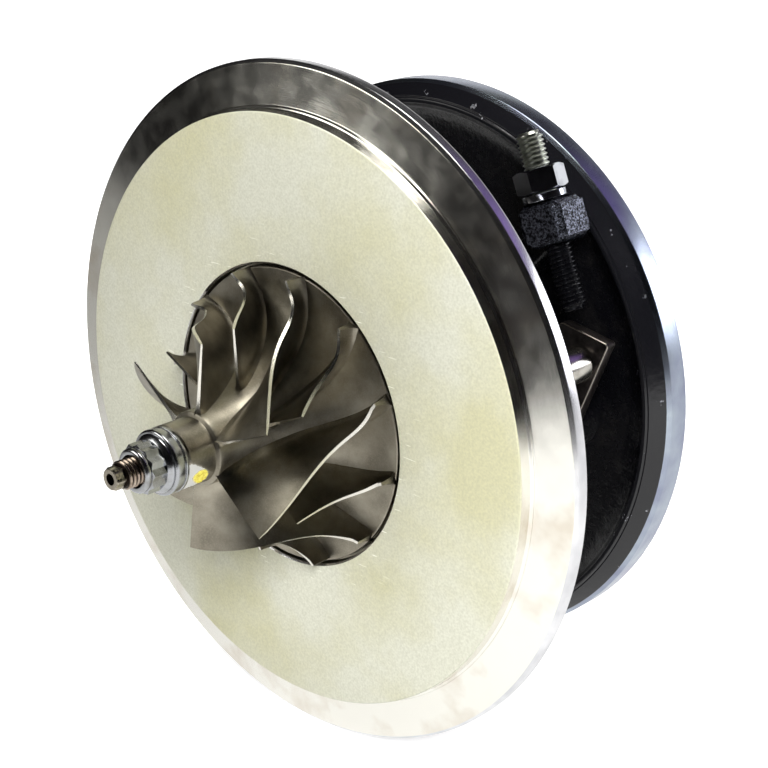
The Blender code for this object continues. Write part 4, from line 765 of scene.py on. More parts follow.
def dark_steel(name, light, dark, roughness):
    """Phosphated or oxidised steel: near black with a soft sheen and lighter patches."""
    material, tree, shader = new_finish(name, light, 0.9, roughness)
    shade = ramp(tree, grain(tree, 2.5, 4.0), 0.3, 0.75)
    set_colour(tree, shader, mix_colours(tree, shade, dark, light))
    set_bump(tree, shader, grain(tree, 0.4, 3.0), 0.03, 0.6)
    return material


def bearing_bronze():
    """Leaded bronze: warm yellow-brown, finely turned."""
    material, tree, shader = new_finish("bearing_bronze", "#B98F54", 1.0, 0.3)
    shade = ramp(tree, grain(tree, 3.0, 3.0), 0.35, 0.7)
    set_colour(tree, shader, mix_colours(tree, shade, "#C09A60", "#9D7743"))
    set_bump(tree, shader, lathe_rings(tree, 0.3), 0.01, 0.6)
    return material


def seal_rubber():
    """Black fluorocarbon rubber: matt, slightly greyed."""
    material, tree, shader = new_finish("seal_rubber", "#18181A", 0.0, 0.6)
    shade = ramp(tree, grain(tree, 2.0, 3.0), 0.3, 0.7)
    set_colour(tree, shader, mix_colours(tree, shade, "#141416", "#232325"))
    set_bump(tree, shader, grain(tree, 0.3, 2.0), 0.02, 0.5)
    return material


def sheet_steel():
    """Rolled stainless sheet: cool grey with long faint roll lines."""
    material, tree, shader = new_finish("rolled_stainless_sheet", "#B5B3AE", 1.0, 0.34)
    shade = ramp(tree, grain(tree, 5.0, 4.0, 0.5, (0.2, 1.0, 1.0)), 0.35, 0.7)
    set_colour(tree, shader, mix_colours(tree, shade, "#BDBBB6", "#9A9792"))
    set_bump(tree, shader, grain(tree, 0.3, 2.0, 0.5, (0.08, 1.0, 1.0)), 0.01, 0.6)
    return material


# Pieces in front

def build_backplate():
    """From the pocket over the face and the flange, then back in along the rear."""
    profile = [(SEAL_BORE_RADIUS, POCKET_FLOOR), (POCKET_RADIUS, POCKET_FLOOR, 0.4),
               (POCKET_RADIUS, FACE_HEIGHT - POCKET_CHAMFER, 0.05),
               (POCKET_RADIUS + POCKET_CHAMFER, FACE_HEIGHT, 0.05),
               (FACE_RADIUS, FACE_HEIGHT, 0.3),
               (FACE_RADIUS + 0.25, 2.0, 0.2), (FACE_RADIUS + 0.8, 1.75, 0.2),
               (FACE_RADIUS + 0.9, 1.25, 0.2), (FLANGE_RADIUS - 0.8, 0.05, 0.15),
               (FLANGE_RADIUS, -0.65, 0.2), (FLANGE_RADIUS, FLANGE_BACK + 0.7, 0.2),
               (FLANGE_RADIUS - 0.6, FLANGE_BACK, 0.2),
               (REAR_RIB_OUTER + 1.0, FLANGE_BACK, 0.3), (REAR_RIB_OUTER, REAR_RIB_BACK, 0.8),
               (REAR_RIB_INNER, REAR_RIB_BACK, 1.0), (REAR_RIB_INNER - 4.0, WEB_BACK, 2.0),
               (BACKPLATE_HUB_RADIUS + 8.0, WEB_BACK, 3.0),
               (BACKPLATE_HUB_RADIUS, BACKPLATE_REAR + 3.0, 1.0),
               (BACKPLATE_HUB_RADIUS - 1.0, BACKPLATE_REAR, 0.4),
               (SPIGOT_RADIUS, BACKPLATE_REAR, 0.2), (SPIGOT_RADIUS, O_RING_TOP, 0.1),
               (O_RING_SEAT_RADIUS, O_RING_TOP, 0.1), (O_RING_SEAT_RADIUS, O_RING_BOTTOM, 0.1),
               (SPIGOT_RADIUS, O_RING_BOTTOM, 0.1), (SPIGOT_RADIUS, SPIGOT_END, 0.2),
               (DEFLECTOR_BORE_RADIUS, SPIGOT_END, 0.3),
               (DEFLECTOR_BORE_RADIUS, DEFLECTOR_FLOOR, 0.3),
               (SEAL_BORE_RADIUS, DEFLECTOR_FLOOR, 0.2)]
    bm = turned(profile, DISC_STEPS)
    face, ring, rim, pocket, back = range(5)

    def finish(radius, height):
        if radius > FACE_RADIUS + 0.05 and height > -0.1:
            return ring
        if radius > REAR_RIB_OUTER + 0.5:
            return rim
        if radius > POCKET_RADIUS + 0.4 and height > FACE_HEIGHT - 0.4:
            return face
        if radius > POCKET_RADIUS - 0.1 and height > FACE_HEIGHT - 0.5:
            return rim
        return pocket if height > 0.0 else back

    paint_faces(bm, finish)
    make_piece("backplate", bm, [face_finish, ring_finish, rim_finish, pocket_finish,
                                 back_finish], "cartridge", ["compressor_backplate"])


def build_compressor():
    """The hub from its nose to its back, the balance flat, and the blades."""
    profile = [(SHAFT_HOLE_RADIUS, NOSE_FRONT), (NOSE_RADIUS - 0.4, NOSE_FRONT, 0.0),
               (NOSE_RADIUS, NOSE_FRONT - 0.4, 0.0)]
    profile += [(NOSE_RADIUS, NOSE_FRONT - 0.7 - 0.3 * ring, 0.0) for ring in range(20)]
    profile += [(NOSE_RADIUS, BLADE_INLET + 0.65, 0.0),
                (NOSE_RADIUS + 0.02, BLADE_INLET + 0.55, 0.0),
                (INLET_HUB_RADIUS - 0.05, BLADE_INLET + 0.2, 0.2)]
    profile += [(*compressor_hub(step / 30), 0.0) for step in range(30)]
    profile += [(BLADE_RADIUS, DISC_FRONT, 0.1), (WHEEL_RADIUS, DISC_FRONT - 0.2, 0.1),
                (WHEEL_RADIUS, DISC_BACK, 0.1), (BACK_HUB_RADIUS, DISC_BACK, 0.5),
                (BACK_HUB_RADIUS, WHEEL_BACK, 0.2), (SHAFT_HOLE_RADIUS, WHEEL_BACK, 0.2)]
    bm = turned(profile, WHEEL_STEPS)
    cut = Vector((math.cos(BALANCE_ANGLE), math.sin(BALANCE_ANGLE), 0.0))
    ground = set()
    for vert in bm.verts:
        slant = BALANCE_SLOPE * (vert.co.z - BALANCE_START)
        beyond = vert.co.dot(cut) - NOSE_RADIUS + slant
        if vert.co.z > BALANCE_START and beyond > 0.0:
            vert.co -= cut * beyond
            ground.add(vert)
    for face in bm.faces:
        if all(vert in ground for vert in face.verts):
            face.material_index = 2
    for number in range(WHEEL_BLADES):
        start = FIRST_BLADE + math.tau * number / WHEEL_BLADES
        shape = (start, compressor_hub, compressor_shroud, compressor_wrap)
        add_blade(bm, SPLITTER_START if number % 2 else 0.0, shape, WHEEL_ROOT_THICKNESS,
                  WHEEL_TIP_THICKNESS, *WHEEL_BLADE_GRID)
    make_piece("compressor_wheel_blades", bm, [wheel_finish, edge_finish, flat_finish], "rotor",
               ["compressor_wheel"])


def build_nut():
    """Grooved flange, shoulder, twelve points and collar, from the wheel outwards."""
    flange = turned([(SHAFT_HOLE_RADIUS, NUT_FLANGE_TOP),
                     (NUT_FLANGE_RADIUS - 0.4, NUT_FLANGE_TOP),
                     (NUT_FLANGE_RADIUS - 0.05, NUT_FLANGE_TOP - 0.3, 0.2),
                     (NUT_FLANGE_RADIUS - 0.05, NUT_FOOT + 1.1, 0.1),
                     (NUT_FLANGE_RADIUS - 0.3, NUT_FOOT + 1.0, 0.05),
                     (NUT_FLANGE_RADIUS - 0.3, NUT_FOOT + 0.8, 0.05),
                     (NUT_FLANGE_RADIUS, NUT_FOOT + 0.7, 0.1),
                     (NUT_FLANGE_RADIUS, NUT_FOOT, 0.2), (SHAFT_HOLE_RADIUS, NUT_FOOT)],
                    NUT_STEPS, 0.2)
    shoulder_foot = NUT_FLANGE_TOP - 0.1
    shoulder = turned([(SHAFT_HOLE_RADIUS, NUT_SHOULDER_TOP),
                       (NUT_SHOULDER_RADIUS - 0.9, NUT_SHOULDER_TOP, 0.3),
                       (NUT_SHOULDER_RADIUS, NUT_SHOULDER_TOP - 0.9, 0.3),
                       (NUT_SHOULDER_RADIUS, shoulder_foot, 0.1),
                       (SHAFT_HOLE_RADIUS, shoulder_foot)], NUT_STEPS, 0.1)
    half = NUT_POINTS_HEIGHT / 2
    body = turned([(SHAFT_HOLE_RADIUS, half), (4.85, half, 0.0), (5.5, half, 0.0),
                   (5.5, -half, 0.0), (SHAFT_HOLE_RADIUS, -half)], 192, 0.0)
    flats(body, 5.3, NUT_ACROSS_FLATS, stars=2, chamfer=0.5, inner=NUT_ACROSS_FLATS / 2)
    bmesh.ops.translate(body, vec=(0.0, 0.0, NUT_POINTS_MIDDLE), verts=body.verts)
    collar_foot = NUT_COLLAR_TOP - 1.5
    collar = turned([(SHAFT_HOLE_RADIUS, NUT_COLLAR_TOP),
                     (NUT_COLLAR_RADIUS - 0.45, NUT_COLLAR_TOP, 0.3),
                     (NUT_COLLAR_RADIUS, NUT_COLLAR_TOP - 0.4, 0.2),
                     (NUT_COLLAR_RADIUS, collar_foot, 0.1), (SHAFT_HOLE_RADIUS, collar_foot)],
                    NUT_STEPS, 0.1)
    for other in (shoulder, body, collar):
        absorb(flange, other)
    make_piece("twelve_point_nut", flange, [nut_finish], "rotor", ["shaft_nut"],
               crease=25.0)


def build_shaft_and_turbine():
    make_piece("shaft_thread", thread(THREAD_RADIUS, THREAD_PITCH, THREAD_START, THREAD_END, 0.4),
               [thread_finish], "rotor", ["turbine_wheel_and_shaft"],
               crease=40.0)
    hole_end = DRIVE_END - CENTRE_HOLE_DEPTH
    drive = turned([(CENTRE_HOLE_RADIUS, DRIVE_END, 0.05),
                    (DRIVE_RADIUS - 0.8, DRIVE_END, 0.15),
                    (DRIVE_RADIUS, DRIVE_END - 0.3, 0.0), (DRIVE_RADIUS, DRIVE_START, 0.0),
                    (0.0, DRIVE_START), (0.0, hole_end), (0.35, hole_end + 0.2)],
                   96, 0.05, closed=False)
    flats(drive, 2.6, DRIVE_ACROSS_FLATS)
    make_piece("shaft_drive_end", drive, [shaft_finish], "rotor",
               ["turbine_wheel_and_shaft"], crease=25.0)
    profile = [(0.0, STUB_END), (STUB_RADIUS - 0.6, STUB_END), (STUB_RADIUS, STUB_END - 0.4),
               (STUB_RADIUS, JOURNAL_FRONT), (JOURNAL_RADIUS, JOURNAL_FRONT),
               (JOURNAL_RADIUS, SEAL_COLLAR_FRONT), (SEAL_COLLAR_RADIUS, SEAL_COLLAR_FRONT),
               (SEAL_COLLAR_RADIUS, SEAL_GROOVE_FRONT), (SEAL_GROOVE_RADIUS, SEAL_GROOVE_FRONT),
               (SEAL_GROOVE_RADIUS, SEAL_GROOVE_BACK), (SEAL_COLLAR_RADIUS, SEAL_GROOVE_BACK),
               (SEAL_COLLAR_RADIUS, TURBINE_BACK, 0.3), (TURBINE_RADIUS, TURBINE_BACK, 0.2),
               (TURBINE_RADIUS, TURBINE_DISC_EDGE, 0.2)]
    profile += [(*turbine_hub(1.0 - step / 20), 0.0) for step in range(1, 20)]
    profile += [(TURBINE_HUB_RADIUS, TURBINE_OUTLET, 0.3),
                (TURBINE_HUB_RADIUS - 1.0, TURBINE_END, 0.8), (0.0, TURBINE_END)]
    bm = turned(profile, WHEEL_STEPS, 0.1, closed=False)
    paint_faces(bm, lambda radius, height: 1 if height > TURBINE_BACK - 0.1 else 0)
    for number in range(TURBINE_BLADES):
        start = math.tau * number / TURBINE_BLADES
        shape = (start, turbine_hub, turbine_shroud, turbine_wrap)
        add_blade(bm, 0.0, shape, TURBINE_ROOT_THICKNESS, TURBINE_TIP_THICKNESS,
                  *TURBINE_BLADE_GRID)
    make_piece("turbine_wheel_blades", bm, [alloy_finish, shaft_finish], "rotor",
               ["turbine_wheel_and_shaft"])


# Housing and what sits on it

def build_housing():
    """From the front over the neck and the flange, then in over the rear and the bore."""
    profile = [(RECESS_RADIUS, BODY_FRONT), (BODY_RADIUS, BODY_FRONT, 0.5),
               (BODY_RADIUS, BODY_BACK, 0.8), (NECK_RADIUS + 2.5, BODY_BACK, 1.5),
               (NECK_RADIUS, BODY_BACK - 2.1, 1.5), (NECK_RADIUS, -35.5, 2.0),
               (NECK_RADIUS + 2.5, -39.6, 2.0), (34.0, -42.9, 3.0), (48.8, -45.5, 3.0),
               (RIDGE_RADIUS - 5.0, RIDGE_FRONT - 3.0, 2.0),
               (RIDGE_RADIUS - 1.4, RIDGE_FRONT - 1.1, 0.5),
               (RIDGE_RADIUS - 0.5, RIDGE_FRONT - 0.05, 0.25),
               (RIDGE_RADIUS, RIDGE_FRONT, 0.15),
               (RIDGE_RADIUS + 0.5, RIDGE_FRONT - 0.05, 0.15),
               (RIDGE_RADIUS + 0.75, RIDGE_FRONT - 0.5, 0.1),
               (RIDGE_RADIUS + 1.1, RIDGE_FRONT - 0.45, 0.1),
               (RIM_RADIUS - 0.7, RIM_FRONT + 0.8, 0.2), (RIM_RADIUS, RIM_FRONT, 0.15),
               (RIM_RADIUS, RIM_BACK + 0.5, 0.2), (RIM_RADIUS - 0.5, RIM_BACK, 0.2),
               (REAR_RECESS_RADIUS, RIM_BACK, 0.3), (REAR_RECESS_RADIUS, REAR_FLOOR, 0.4),
               (SHIELD_NOSE_RADIUS + 4.0, REAR_FLOOR, 0.8),
               (SHIELD_NOSE_RADIUS + 3.2, SHIELD_SEAT, 0.3),
               (SHIELD_NOSE_RADIUS, SHIELD_SEAT, 0.3),
               (SHIELD_NOSE_RADIUS, SHIELD_NOSE_END + 2.3, 1.5),
               (SHIELD_NOSE_RADIUS - 2.2, SHIELD_NOSE_END, 1.5),
               (TURBINE_SEAL_BORE_RADIUS, SHIELD_NOSE_END, 0.3),
               (TURBINE_SEAL_BORE_RADIUS, TURBINE_SEAL_BORE_FRONT, 0.1),
               (BEARING_BORE_RADIUS, TURBINE_SEAL_BORE_FRONT, 0.1),
               (BEARING_BORE_RADIUS, BEARING_BORE_FRONT, 0.2),
               (THRUST_RECESS_RADIUS, BEARING_BORE_FRONT, 0.2),
               (THRUST_RECESS_RADIUS, THRUST_RECESS_FRONT, 0.2),
               (RECESS_RADIUS, THRUST_RECESS_FRONT, 0.2)]
    bm = turned(profile, BODY_STEPS)
    casting, chipped, iron, inner_iron = range(4)

    def finish(radius, height):
        if height < RIM_BACK + 0.2 or radius > RIM_RADIUS - 1.1 and height < RIM_FRONT + 1.0:
            return iron
        if radius > RIDGE_RADIUS + 0.6 and height < RIDGE_FRONT - 0.3:
            return chipped
        if radius > RIDGE_RADIUS - 1.8 and height > RIDGE_FRONT - 1.3:
            return chipped
        if radius < RECESS_RADIUS + 0.1 or height < REAR_FLOOR + 0.3:
            return inner_iron
        return casting

    paint_faces(bm, finish)
    cast_piece("housing_casting", bm, [casting_finish, chipped_finish, iron_finish,
                                       inner_iron_finish])


def build_housing_bosses():
    """Screw ears, oil ports and the lever's boss, all cast in one with the housing."""
    for number in range(EAR_COUNT):
        angle = math.radians(45.0) + math.tau * number / EAR_COUNT
        ear = turned([(EAR_HOLE_RADIUS, EAR_FRONT), (EAR_RADIUS, EAR_FRONT, 0.8),
                      (EAR_RADIUS, EAR_BACK, 0.4), (EAR_HOLE_RADIUS, EAR_BACK)], 48)
        place = Matrix.Translation((SCREW_CIRCLE * math.cos(angle),
                                    SCREW_CIRCLE * math.sin(angle), 0.0))
        cast_piece(f"housing_ear_{number + 1}", ear, [casting_finish], place)
    upright = Matrix.Translation((0.0, 0.0, PORT_Z)) @ Matrix.Rotation(-math.pi / 2, 4, "X")
    inlet = turned([(INLET_BORE_RADIUS, PORT_FACE), (INLET_BOSS_RADIUS, PORT_FACE, 0.5),
                    (INLET_BOSS_RADIUS, 30.0, 0.3), (INLET_BOSS_RADIUS + 1.0, 24.0, 1.0),
                    (INLET_BOSS_RADIUS + 1.0, INLET_BOSS_FOOT), (0.0, INLET_BOSS_FOOT),
                    (0.0, PORT_BORE_END), (INLET_BORE_RADIUS, PORT_BORE_END, 0.2)],
                   SMALL_STEPS, 0.2)
    paint_faces(inlet, lambda radius, height:
                1 if height > PORT_FACE - 0.6 or radius < INLET_BORE_RADIUS + 0.1 else 0)
    cast_piece("oil_inlet_boss", inlet, [casting_finish, inner_iron_finish], upright)
    downward = Matrix.Translation((0.0, 0.0, PORT_Z)) @ Matrix.Rotation(math.pi / 2, 4, "X")
    neck_top = PORT_FACE - 0.1
    neck = turned([(DRAIN_BORE_RADIUS, neck_top), (DRAIN_NECK_RADIUS, neck_top, 0.2),
                   (DRAIN_NECK_RADIUS + 0.5, 34.0, 0.5), (DRAIN_FOOT_RADIUS, 24.0, 1.0),
                   (DRAIN_FOOT_RADIUS, DRAIN_NECK_FOOT), (0.0, DRAIN_NECK_FOOT),
                   (0.0, PORT_BORE_END), (DRAIN_BORE_RADIUS, PORT_BORE_END, 0.2)], SMALL_STEPS)
    paint_faces(neck, lambda radius, height: 1 if radius < DRAIN_BORE_RADIUS + 0.1 else 0)
    cast_piece("oil_drain_neck", neck, [casting_finish, inner_iron_finish], downward)
    build_drain_pad(downward)
    lever_boss = turned([(LEVER_BUSH_BORE_RADIUS, LEVER_BOSS_FRONT),
                         (LEVER_BOSS_RADIUS, LEVER_BOSS_FRONT, 0.6),
                         (LEVER_BOSS_RADIUS + 0.2, -46.0, 0.6),
                         (LEVER_BOSS_RADIUS + 1.0, LEVER_BOSS_BACK),
                         (LEVER_BUSH_BORE_RADIUS, LEVER_BOSS_BACK)], SMALL_STEPS)
    cast_piece("lever_boss", lever_boss, [casting_finish], Matrix.Translation(LEVER_PIVOT))


def build_drain_pad(place):
    """The drain's flange: a plate outline pierced by the bore and two screw holes."""
    bm = bmesh.new()
    aside = DRAIN_SCREW_SPACING / 2
    holes = [(0.0, DRAIN_BORE_RADIUS, 48), (-aside, DRAIN_SCREW_HOLE_RADIUS, 24),
             (aside, DRAIN_SCREW_HOLE_RADIUS, 24)]
    edges = []
    for x, radius, sides in holes:
        ring = bmesh.ops.create_circle(bm, segments=sides, radius=radius,
                                       matrix=Matrix.Translation((x, 0.0, PORT_FACE)))
        edges += list({edge for vert in ring["verts"] for edge in vert.link_edges})
    corners = []
    corner_x = PAD_LENGTH / 2 - PAD_CORNER
    corner_y = PAD_WIDTH / 2 - PAD_CORNER
    for across, along, start in ((1, 1, 0), (-1, 1, 1), (-1, -1, 2), (1, -1, 3)):
        for step in range(7):
            angle = math.pi / 2 * (start + step / 6)
            corners.append(bm.verts.new((across * corner_x + PAD_CORNER * math.cos(angle),
                                         along * corner_y + PAD_CORNER * math.sin(angle),
                                         PORT_FACE)))
    edges += [bm.edges.new((corner, corners[(index + 1) % len(corners)]))
              for index, corner in enumerate(corners)]
    bmesh.ops.triangle_fill(bm, edges=edges, use_beauty=True)
    solid = bmesh.ops.extrude_face_region(bm, geom=bm.faces[:], use_keep_orig=True)
    lower = [item for item in solid["geom"] if isinstance(item, bmesh.types.BMVert)]
    bmesh.ops.translate(bm, vec=(0.0, 0.0, -PAD_THICKNESS), verts=lower)
    paint_faces(bm, lambda radius, height: 1 if height > PORT_FACE - 0.1 else 0)
    cast_piece("oil_drain_pad", bm, [casting_finish, inner_iron_finish], place)


def stop_place(distance):
    """Z points out of the boss, along the stop screw."""
    point = STOP_TOP + Vector((math.cos(STOP_ANGLE), math.sin(STOP_ANGLE), 0.0)) * distance
    return (Matrix.Translation(point) @ Matrix.Rotation(STOP_ANGLE + math.pi / 2, 4, "Z")
            @ Matrix.Rotation(-math.pi / 2, 4, "X"))


def build_stop_boss():
    """The boss that the stop screw goes through, and the rib that carries it."""
    boss = rounded_block(STOP_BOSS_SIZE, 3.2, segments=6, roughness=0.3, cuts=6, seed=3.0)
    middle = stop_place(STOP_BOSS_MIDDLE)
    cast_piece("stop_screw_boss", boss, [boss_finish],
               middle @ Matrix.Translation((0.0, 0.8, 0.0)), crease=60.0)
    centre = middle.translation
    angle = math.atan2(centre.y, centre.x)
    inner = NECK_RADIUS - 3.0
    outer = math.hypot(centre.x, centre.y) + 2.0
    rib = rounded_block((outer - inner, RIB_WIDTH, RIB_DEPTH), 1.6, segments=4, roughness=0.2,
                        cuts=5, seed=9.0)
    reach = (outer + inner) / 2
    place = (Matrix.Translation((reach * math.cos(angle), reach * math.sin(angle), RIB_Z))
             @ Matrix.Rotation(angle, 4, "Z"))
    cast_piece("stop_boss_rib", rib, [casting_finish], place, crease=60.0)


def build_stop_screw():
    """The screw, its lower end in the dark gap given the black casting finish as painted shade,
    the lock nut and the split washer.
    """
    screw = thread(STOP_RADIUS, STOP_PITCH, -STOP_LENGTH, 0.0, 0.7)
    # Painted shade: below this distance the zinc screw takes the black casting finish, standing
    # in for the shadow in the gap.
    paint_faces(screw, lambda radius, height: 1 if height < -STOP_PAINTED_SHADE_FROM else 0)
    make_piece("stop_screw_thread", screw, [zinc_finish, casting_finish], "cartridge",
               ["stop_screw"], stop_place(0.0), crease=40.0)
    half = STOP_NUT_HEIGHT / 2
    nut = turned([(STOP_NUT_HOLE_RADIUS, half), (4.9, half, 0.0), (5.7, half, 0.0),
                  (5.7, -half, 0.0), (4.9, -half, 0.0), (STOP_NUT_HOLE_RADIUS, -half)],
                 144, 0.25)
    flats(nut, 5.3, STOP_NUT_ACROSS_FLATS, chamfer=0.577, inner=4.9)
    bmesh.ops.rotate(nut, verts=nut.verts, matrix=Matrix.Rotation(STOP_NUT_TURN, 3, "Z"))
    make_piece("stop_lock_nut", nut, [lock_nut_finish], "cartridge", ["stop_screw_nut"],
               stop_place(STOP_NUT_MIDDLE), crease=20.0)
    half = STOP_WASHER_HEIGHT / 2
    washer = turned([(STOP_NUT_HOLE_RADIUS, half), (STOP_WASHER_RADIUS, half),
                     (STOP_WASHER_RADIUS, -half), (STOP_NUT_HOLE_RADIUS, -half)],
                    72, 0.1, turn=math.tau - 0.2)
    bmesh.ops.holes_fill(washer, edges=[edge for edge in washer.edges if edge.is_boundary],
                         sides=0)
    make_piece("stop_lock_washer", washer, [lock_nut_finish], "cartridge",
               ["stop_screw_washer"],
               stop_place(STOP_WASHER_MIDDLE) @ Matrix.Rotation(2.2, 4, "Z"), crease=30.0)


def build_lever():
    """A plate with a round hub and two corners, and the drive pin riveted through it."""
    left = LEVER_CORNER + LEVER_TOP_LENGTH * Vector((math.cos(LEVER_TOP_SLOPE),
                                                     math.sin(LEVER_TOP_SLOPE)))
    right_touch = (math.atan2(LEVER_CORNER.y, LEVER_CORNER.x)
                   - math.acos(LEVER_HUB_RADIUS / LEVER_CORNER.length))
    left_touch = math.atan2(left.y, left.x) + math.acos(LEVER_HUB_RADIUS / left.length)
    bm = bmesh.new()
    outline = []
    for step in range(33):
        angle = between(left_touch, right_touch + math.tau, step / 32)
        outline.append(bm.verts.new((LEVER_HUB_RADIUS * math.cos(angle),
                                     LEVER_HUB_RADIUS * math.sin(angle), LEVER_BACK)))
    corners = [bm.verts.new((*LEVER_CORNER, LEVER_BACK)), bm.verts.new((*left, LEVER_BACK))]
    bm.faces.new(outline + corners)
    bmesh.ops.bevel(bm, geom=corners, offset=1.0, segments=4, affect="VERTICES", profile=0.5,
                    material=-1)
    raised = bmesh.ops.extrude_face_region(bm, geom=bm.faces[:], use_keep_orig=True)
    upper = [item for item in raised["geom"] if isinstance(item, bmesh.types.BMVert)]
    bmesh.ops.translate(bm, vec=(0.0, 0.0, LEVER_THICKNESS), verts=upper)
    bmesh.ops.recalc_face_normals(bm, faces=bm.faces)
    rim = [edge for edge in bm.edges if edge.calc_face_angle(0.0) > 1.2]
    bmesh.ops.bevel(bm, geom=rim, offset=0.25, segments=2, affect="EDGES", profile=0.5,
                    material=1)
    make_piece("lever_plate", bm, [lever_finish, worn_edge_finish], "lever", ["lever_arm"],
               Matrix.Translation(LEVER_PIVOT), crease=25.0)
    groove = LEVER_PIN_RADIUS - 0.6
    head = LEVER_PIN_RADIUS - 0.9
    rivet = LEVER_BACK - 0.3
    pin = turned([(0.0, LEVER_PIN_FRONT), (head, LEVER_PIN_FRONT, 0.3),
                  (LEVER_PIN_RADIUS, LEVER_PIN_FRONT - 0.9, 0.5),
                  (LEVER_PIN_RADIUS, LEVER_PIN_FRONT - 1.8), (groove, LEVER_PIN_FRONT - 1.9),
                  (groove, LEVER_PIN_FRONT - 2.7), (LEVER_PIN_RADIUS, LEVER_PIN_FRONT - 2.8),
                  (LEVER_PIN_RADIUS, LEVER_PIN_BACK + 1.0, 0.5), (head, LEVER_PIN_BACK, 0.3),
                  (LEVER_PIN_SHANK_RADIUS, LEVER_PIN_BACK), (LEVER_PIN_SHANK_RADIUS, rivet),
                  (head, rivet), (2.9, rivet - 1.0, 0.3), (0.0, rivet - 1.0)],
                 SMALL_STEPS, 0.1, closed=False)
    make_piece("lever_drive_pin", pin, [pin_finish], "lever", ["lever_pin"],
               Matrix.Translation(LEVER_PIN), crease=30.0)


# Studio

def build_studio():
    """White paper on a table, in a dark room that is open to a white backdrop behind."""
    add_stage("studio_paper", slab(FLOOR_SIZE, FLOOR_PLACE), floor_paper())
    room = slab(ROOM_SIZE, ROOM_PLACE)
    back_wall = ROOM_PLACE[1] + ROOM_SIZE[1] / 2
    back = [face for face in room.faces if face.calc_center_median().y > back_wall - 0.1]
    bmesh.ops.delete(room, geom=back, context="FACES")
    walls = add_stage("studio_room", room, room_cloth())
    walls.visible_camera = False
    add_lamp("overhead_softbox", (0.0, 0.2, 1.35), 0.6, 10.0, "#FFFEFA")
    add_lamp("front_left_softbox", (-0.9, -1.25, 0.75), 0.8, 7.5, "#FFFEF8")
    fill = add_lamp("front_right_fill", (0.5, -0.4, 0.45), 0.3, 12.2, "#FFFFFF")
    fill.visible_glossy = False
    add_lamp("back_softbox", (1.0, 1.25, 0.45), 0.6, 6.0, "#F4F6FF")
    world = bpy.data.worlds.new("studio")
    bpy.context.scene.world = world
    world.use_nodes = True
    tree = world.node_tree
    background = tree.nodes["Background"]
    tree.links.new(mix_colours(tree, shown_directly(tree), "#B8B8B6", "#FFFFFF"),
                   background.inputs["Color"])


def slab(size, centre):
    """A box in metres. One without height is a single sheet."""
    bm = bmesh.new()
    bmesh.ops.create_cube(bm, size=1.0)
    bmesh.ops.scale(bm, vec=size, verts=bm.verts)
    bmesh.ops.translate(bm, vec=centre, verts=bm.verts)
    bmesh.ops.remove_doubles(bm, verts=bm.verts, dist=0.00001)
    return bm


def add_stage(name, bm, finish):
    mesh = bpy.data.meshes.new(name)
    bm.to_mesh(mesh)
    bm.free()
    mesh.materials.append(finish)
    item = bpy.data.objects.new(name, mesh)
    bpy.context.scene.collection.objects.link(item)
    return item


def shown_directly(tree):
    """1 where the camera sees the surface itself, in a mirror or through glass."""
    rays = add_node(tree, "ShaderNodeLightPath")
    return maths(tree, "MAXIMUM", rays.outputs["Is Camera Ray"], maths(
        tree, "MAXIMUM", rays.outputs["Is Glossy Ray"], rays.outputs["Is Transmission Ray"]))


def floor_paper():
    """White seamless paper: the camera sees it white with the object's soft shadow. It
    throws little light back, and metal mirrors it dark on the left and pale on the right."""
    material, tree, shader = new_finish("white_seamless_paper", "#F4F4F2", 0.0, 0.8)
    weave = ramp(tree, grain(tree, 1.0, 2.0), 0.3, 0.7)
    paper = mix_colours(tree, weave, "#F6F6F4", "#F1F1EF")
    rays = add_node(tree, "ShaderNodeLightPath")
    set_colour(tree, shader, mix_colours(tree, rays.outputs["Is Camera Ray"], "#9A9A99", paper))
    shader.inputs["Emission Color"].default_value = linear("#FFFFFF")
    from_object = add_node(tree, "ShaderNodeVectorMath", {0: position(tree), 1: (0.0, 0.0, 0.0)},
                           operation="DISTANCE").outputs["Value"]
    away = ramp(tree, from_object, 0.15, 0.7, 0.55, 0.95)
    sides = add_node(tree, "ShaderNodeSeparateXYZ", {"Vector": position(tree)})
    mirrored = maths(tree, "MULTIPLY", rays.outputs["Is Glossy Ray"],
                     ramp(tree, sides.outputs["X"], -0.28, 0.0, 0.05, 0.6))
    seen = maths(tree, "MULTIPLY", rays.outputs["Is Camera Ray"], away)
    tree.links.new(maths(tree, "ADD", seen, mirrored), shader.inputs["Emission Strength"])
    return material


def room_cloth():
    """Dark grey cloth, with a violet glow on the ceiling behind the object to its right."""
    material, tree, shader = new_finish("dark_room_cloth", "#17131C", 0.0, 0.95)
    folds = ramp(tree, grain(tree, 400.0, 3.0), 0.35, 0.65)
    set_colour(tree, shader, mix_colours(tree, folds, "#141216", "#262226"))
    away = add_node(tree, "ShaderNodeVectorMath", {0: position(tree), 1: VIOLET_GLOW},
                    operation="DISTANCE").outputs["Value"]
    shader.inputs["Emission Color"].default_value = linear("#7A5FA8")
    tree.links.new(ramp(tree, away, 0.2, 1.1, 1.0, 0.0), shader.inputs["Emission Strength"])
    return material


def add_lamp(name, place, size, power, colour):
    lamp = bpy.data.lights.new(name, "AREA")
    lamp.shape = "SQUARE"
    lamp.size = size
    lamp.energy = power
    lamp.color = linear(colour)[:3]
    holder = bpy.data.objects.new(name, lamp)
    holder.location = place
    holder.rotation_euler = (-Vector(place)).to_track_quat("-Z", "Y").to_euler()
    holder.visible_camera = False
    bpy.context.scene.collection.objects.link(holder)
    return holder


def add_camera():
    """From the front right, a little above, as the photograph was taken."""
    camera = bpy.data.cameras.new("camera")
    camera.sensor_width = 36.0
    camera.lens = CAMERA_LENS
    camera.clip_start = 0.01
    holder = bpy.data.objects.new("camera", camera)
    holder.location = CAMERA_PLACE
    holder.rotation_euler = CAMERA_VIEW.to_track_quat("-Z", "Y").to_euler()
    bpy.context.scene.collection.objects.link(holder)
    bpy.context.scene.camera = holder


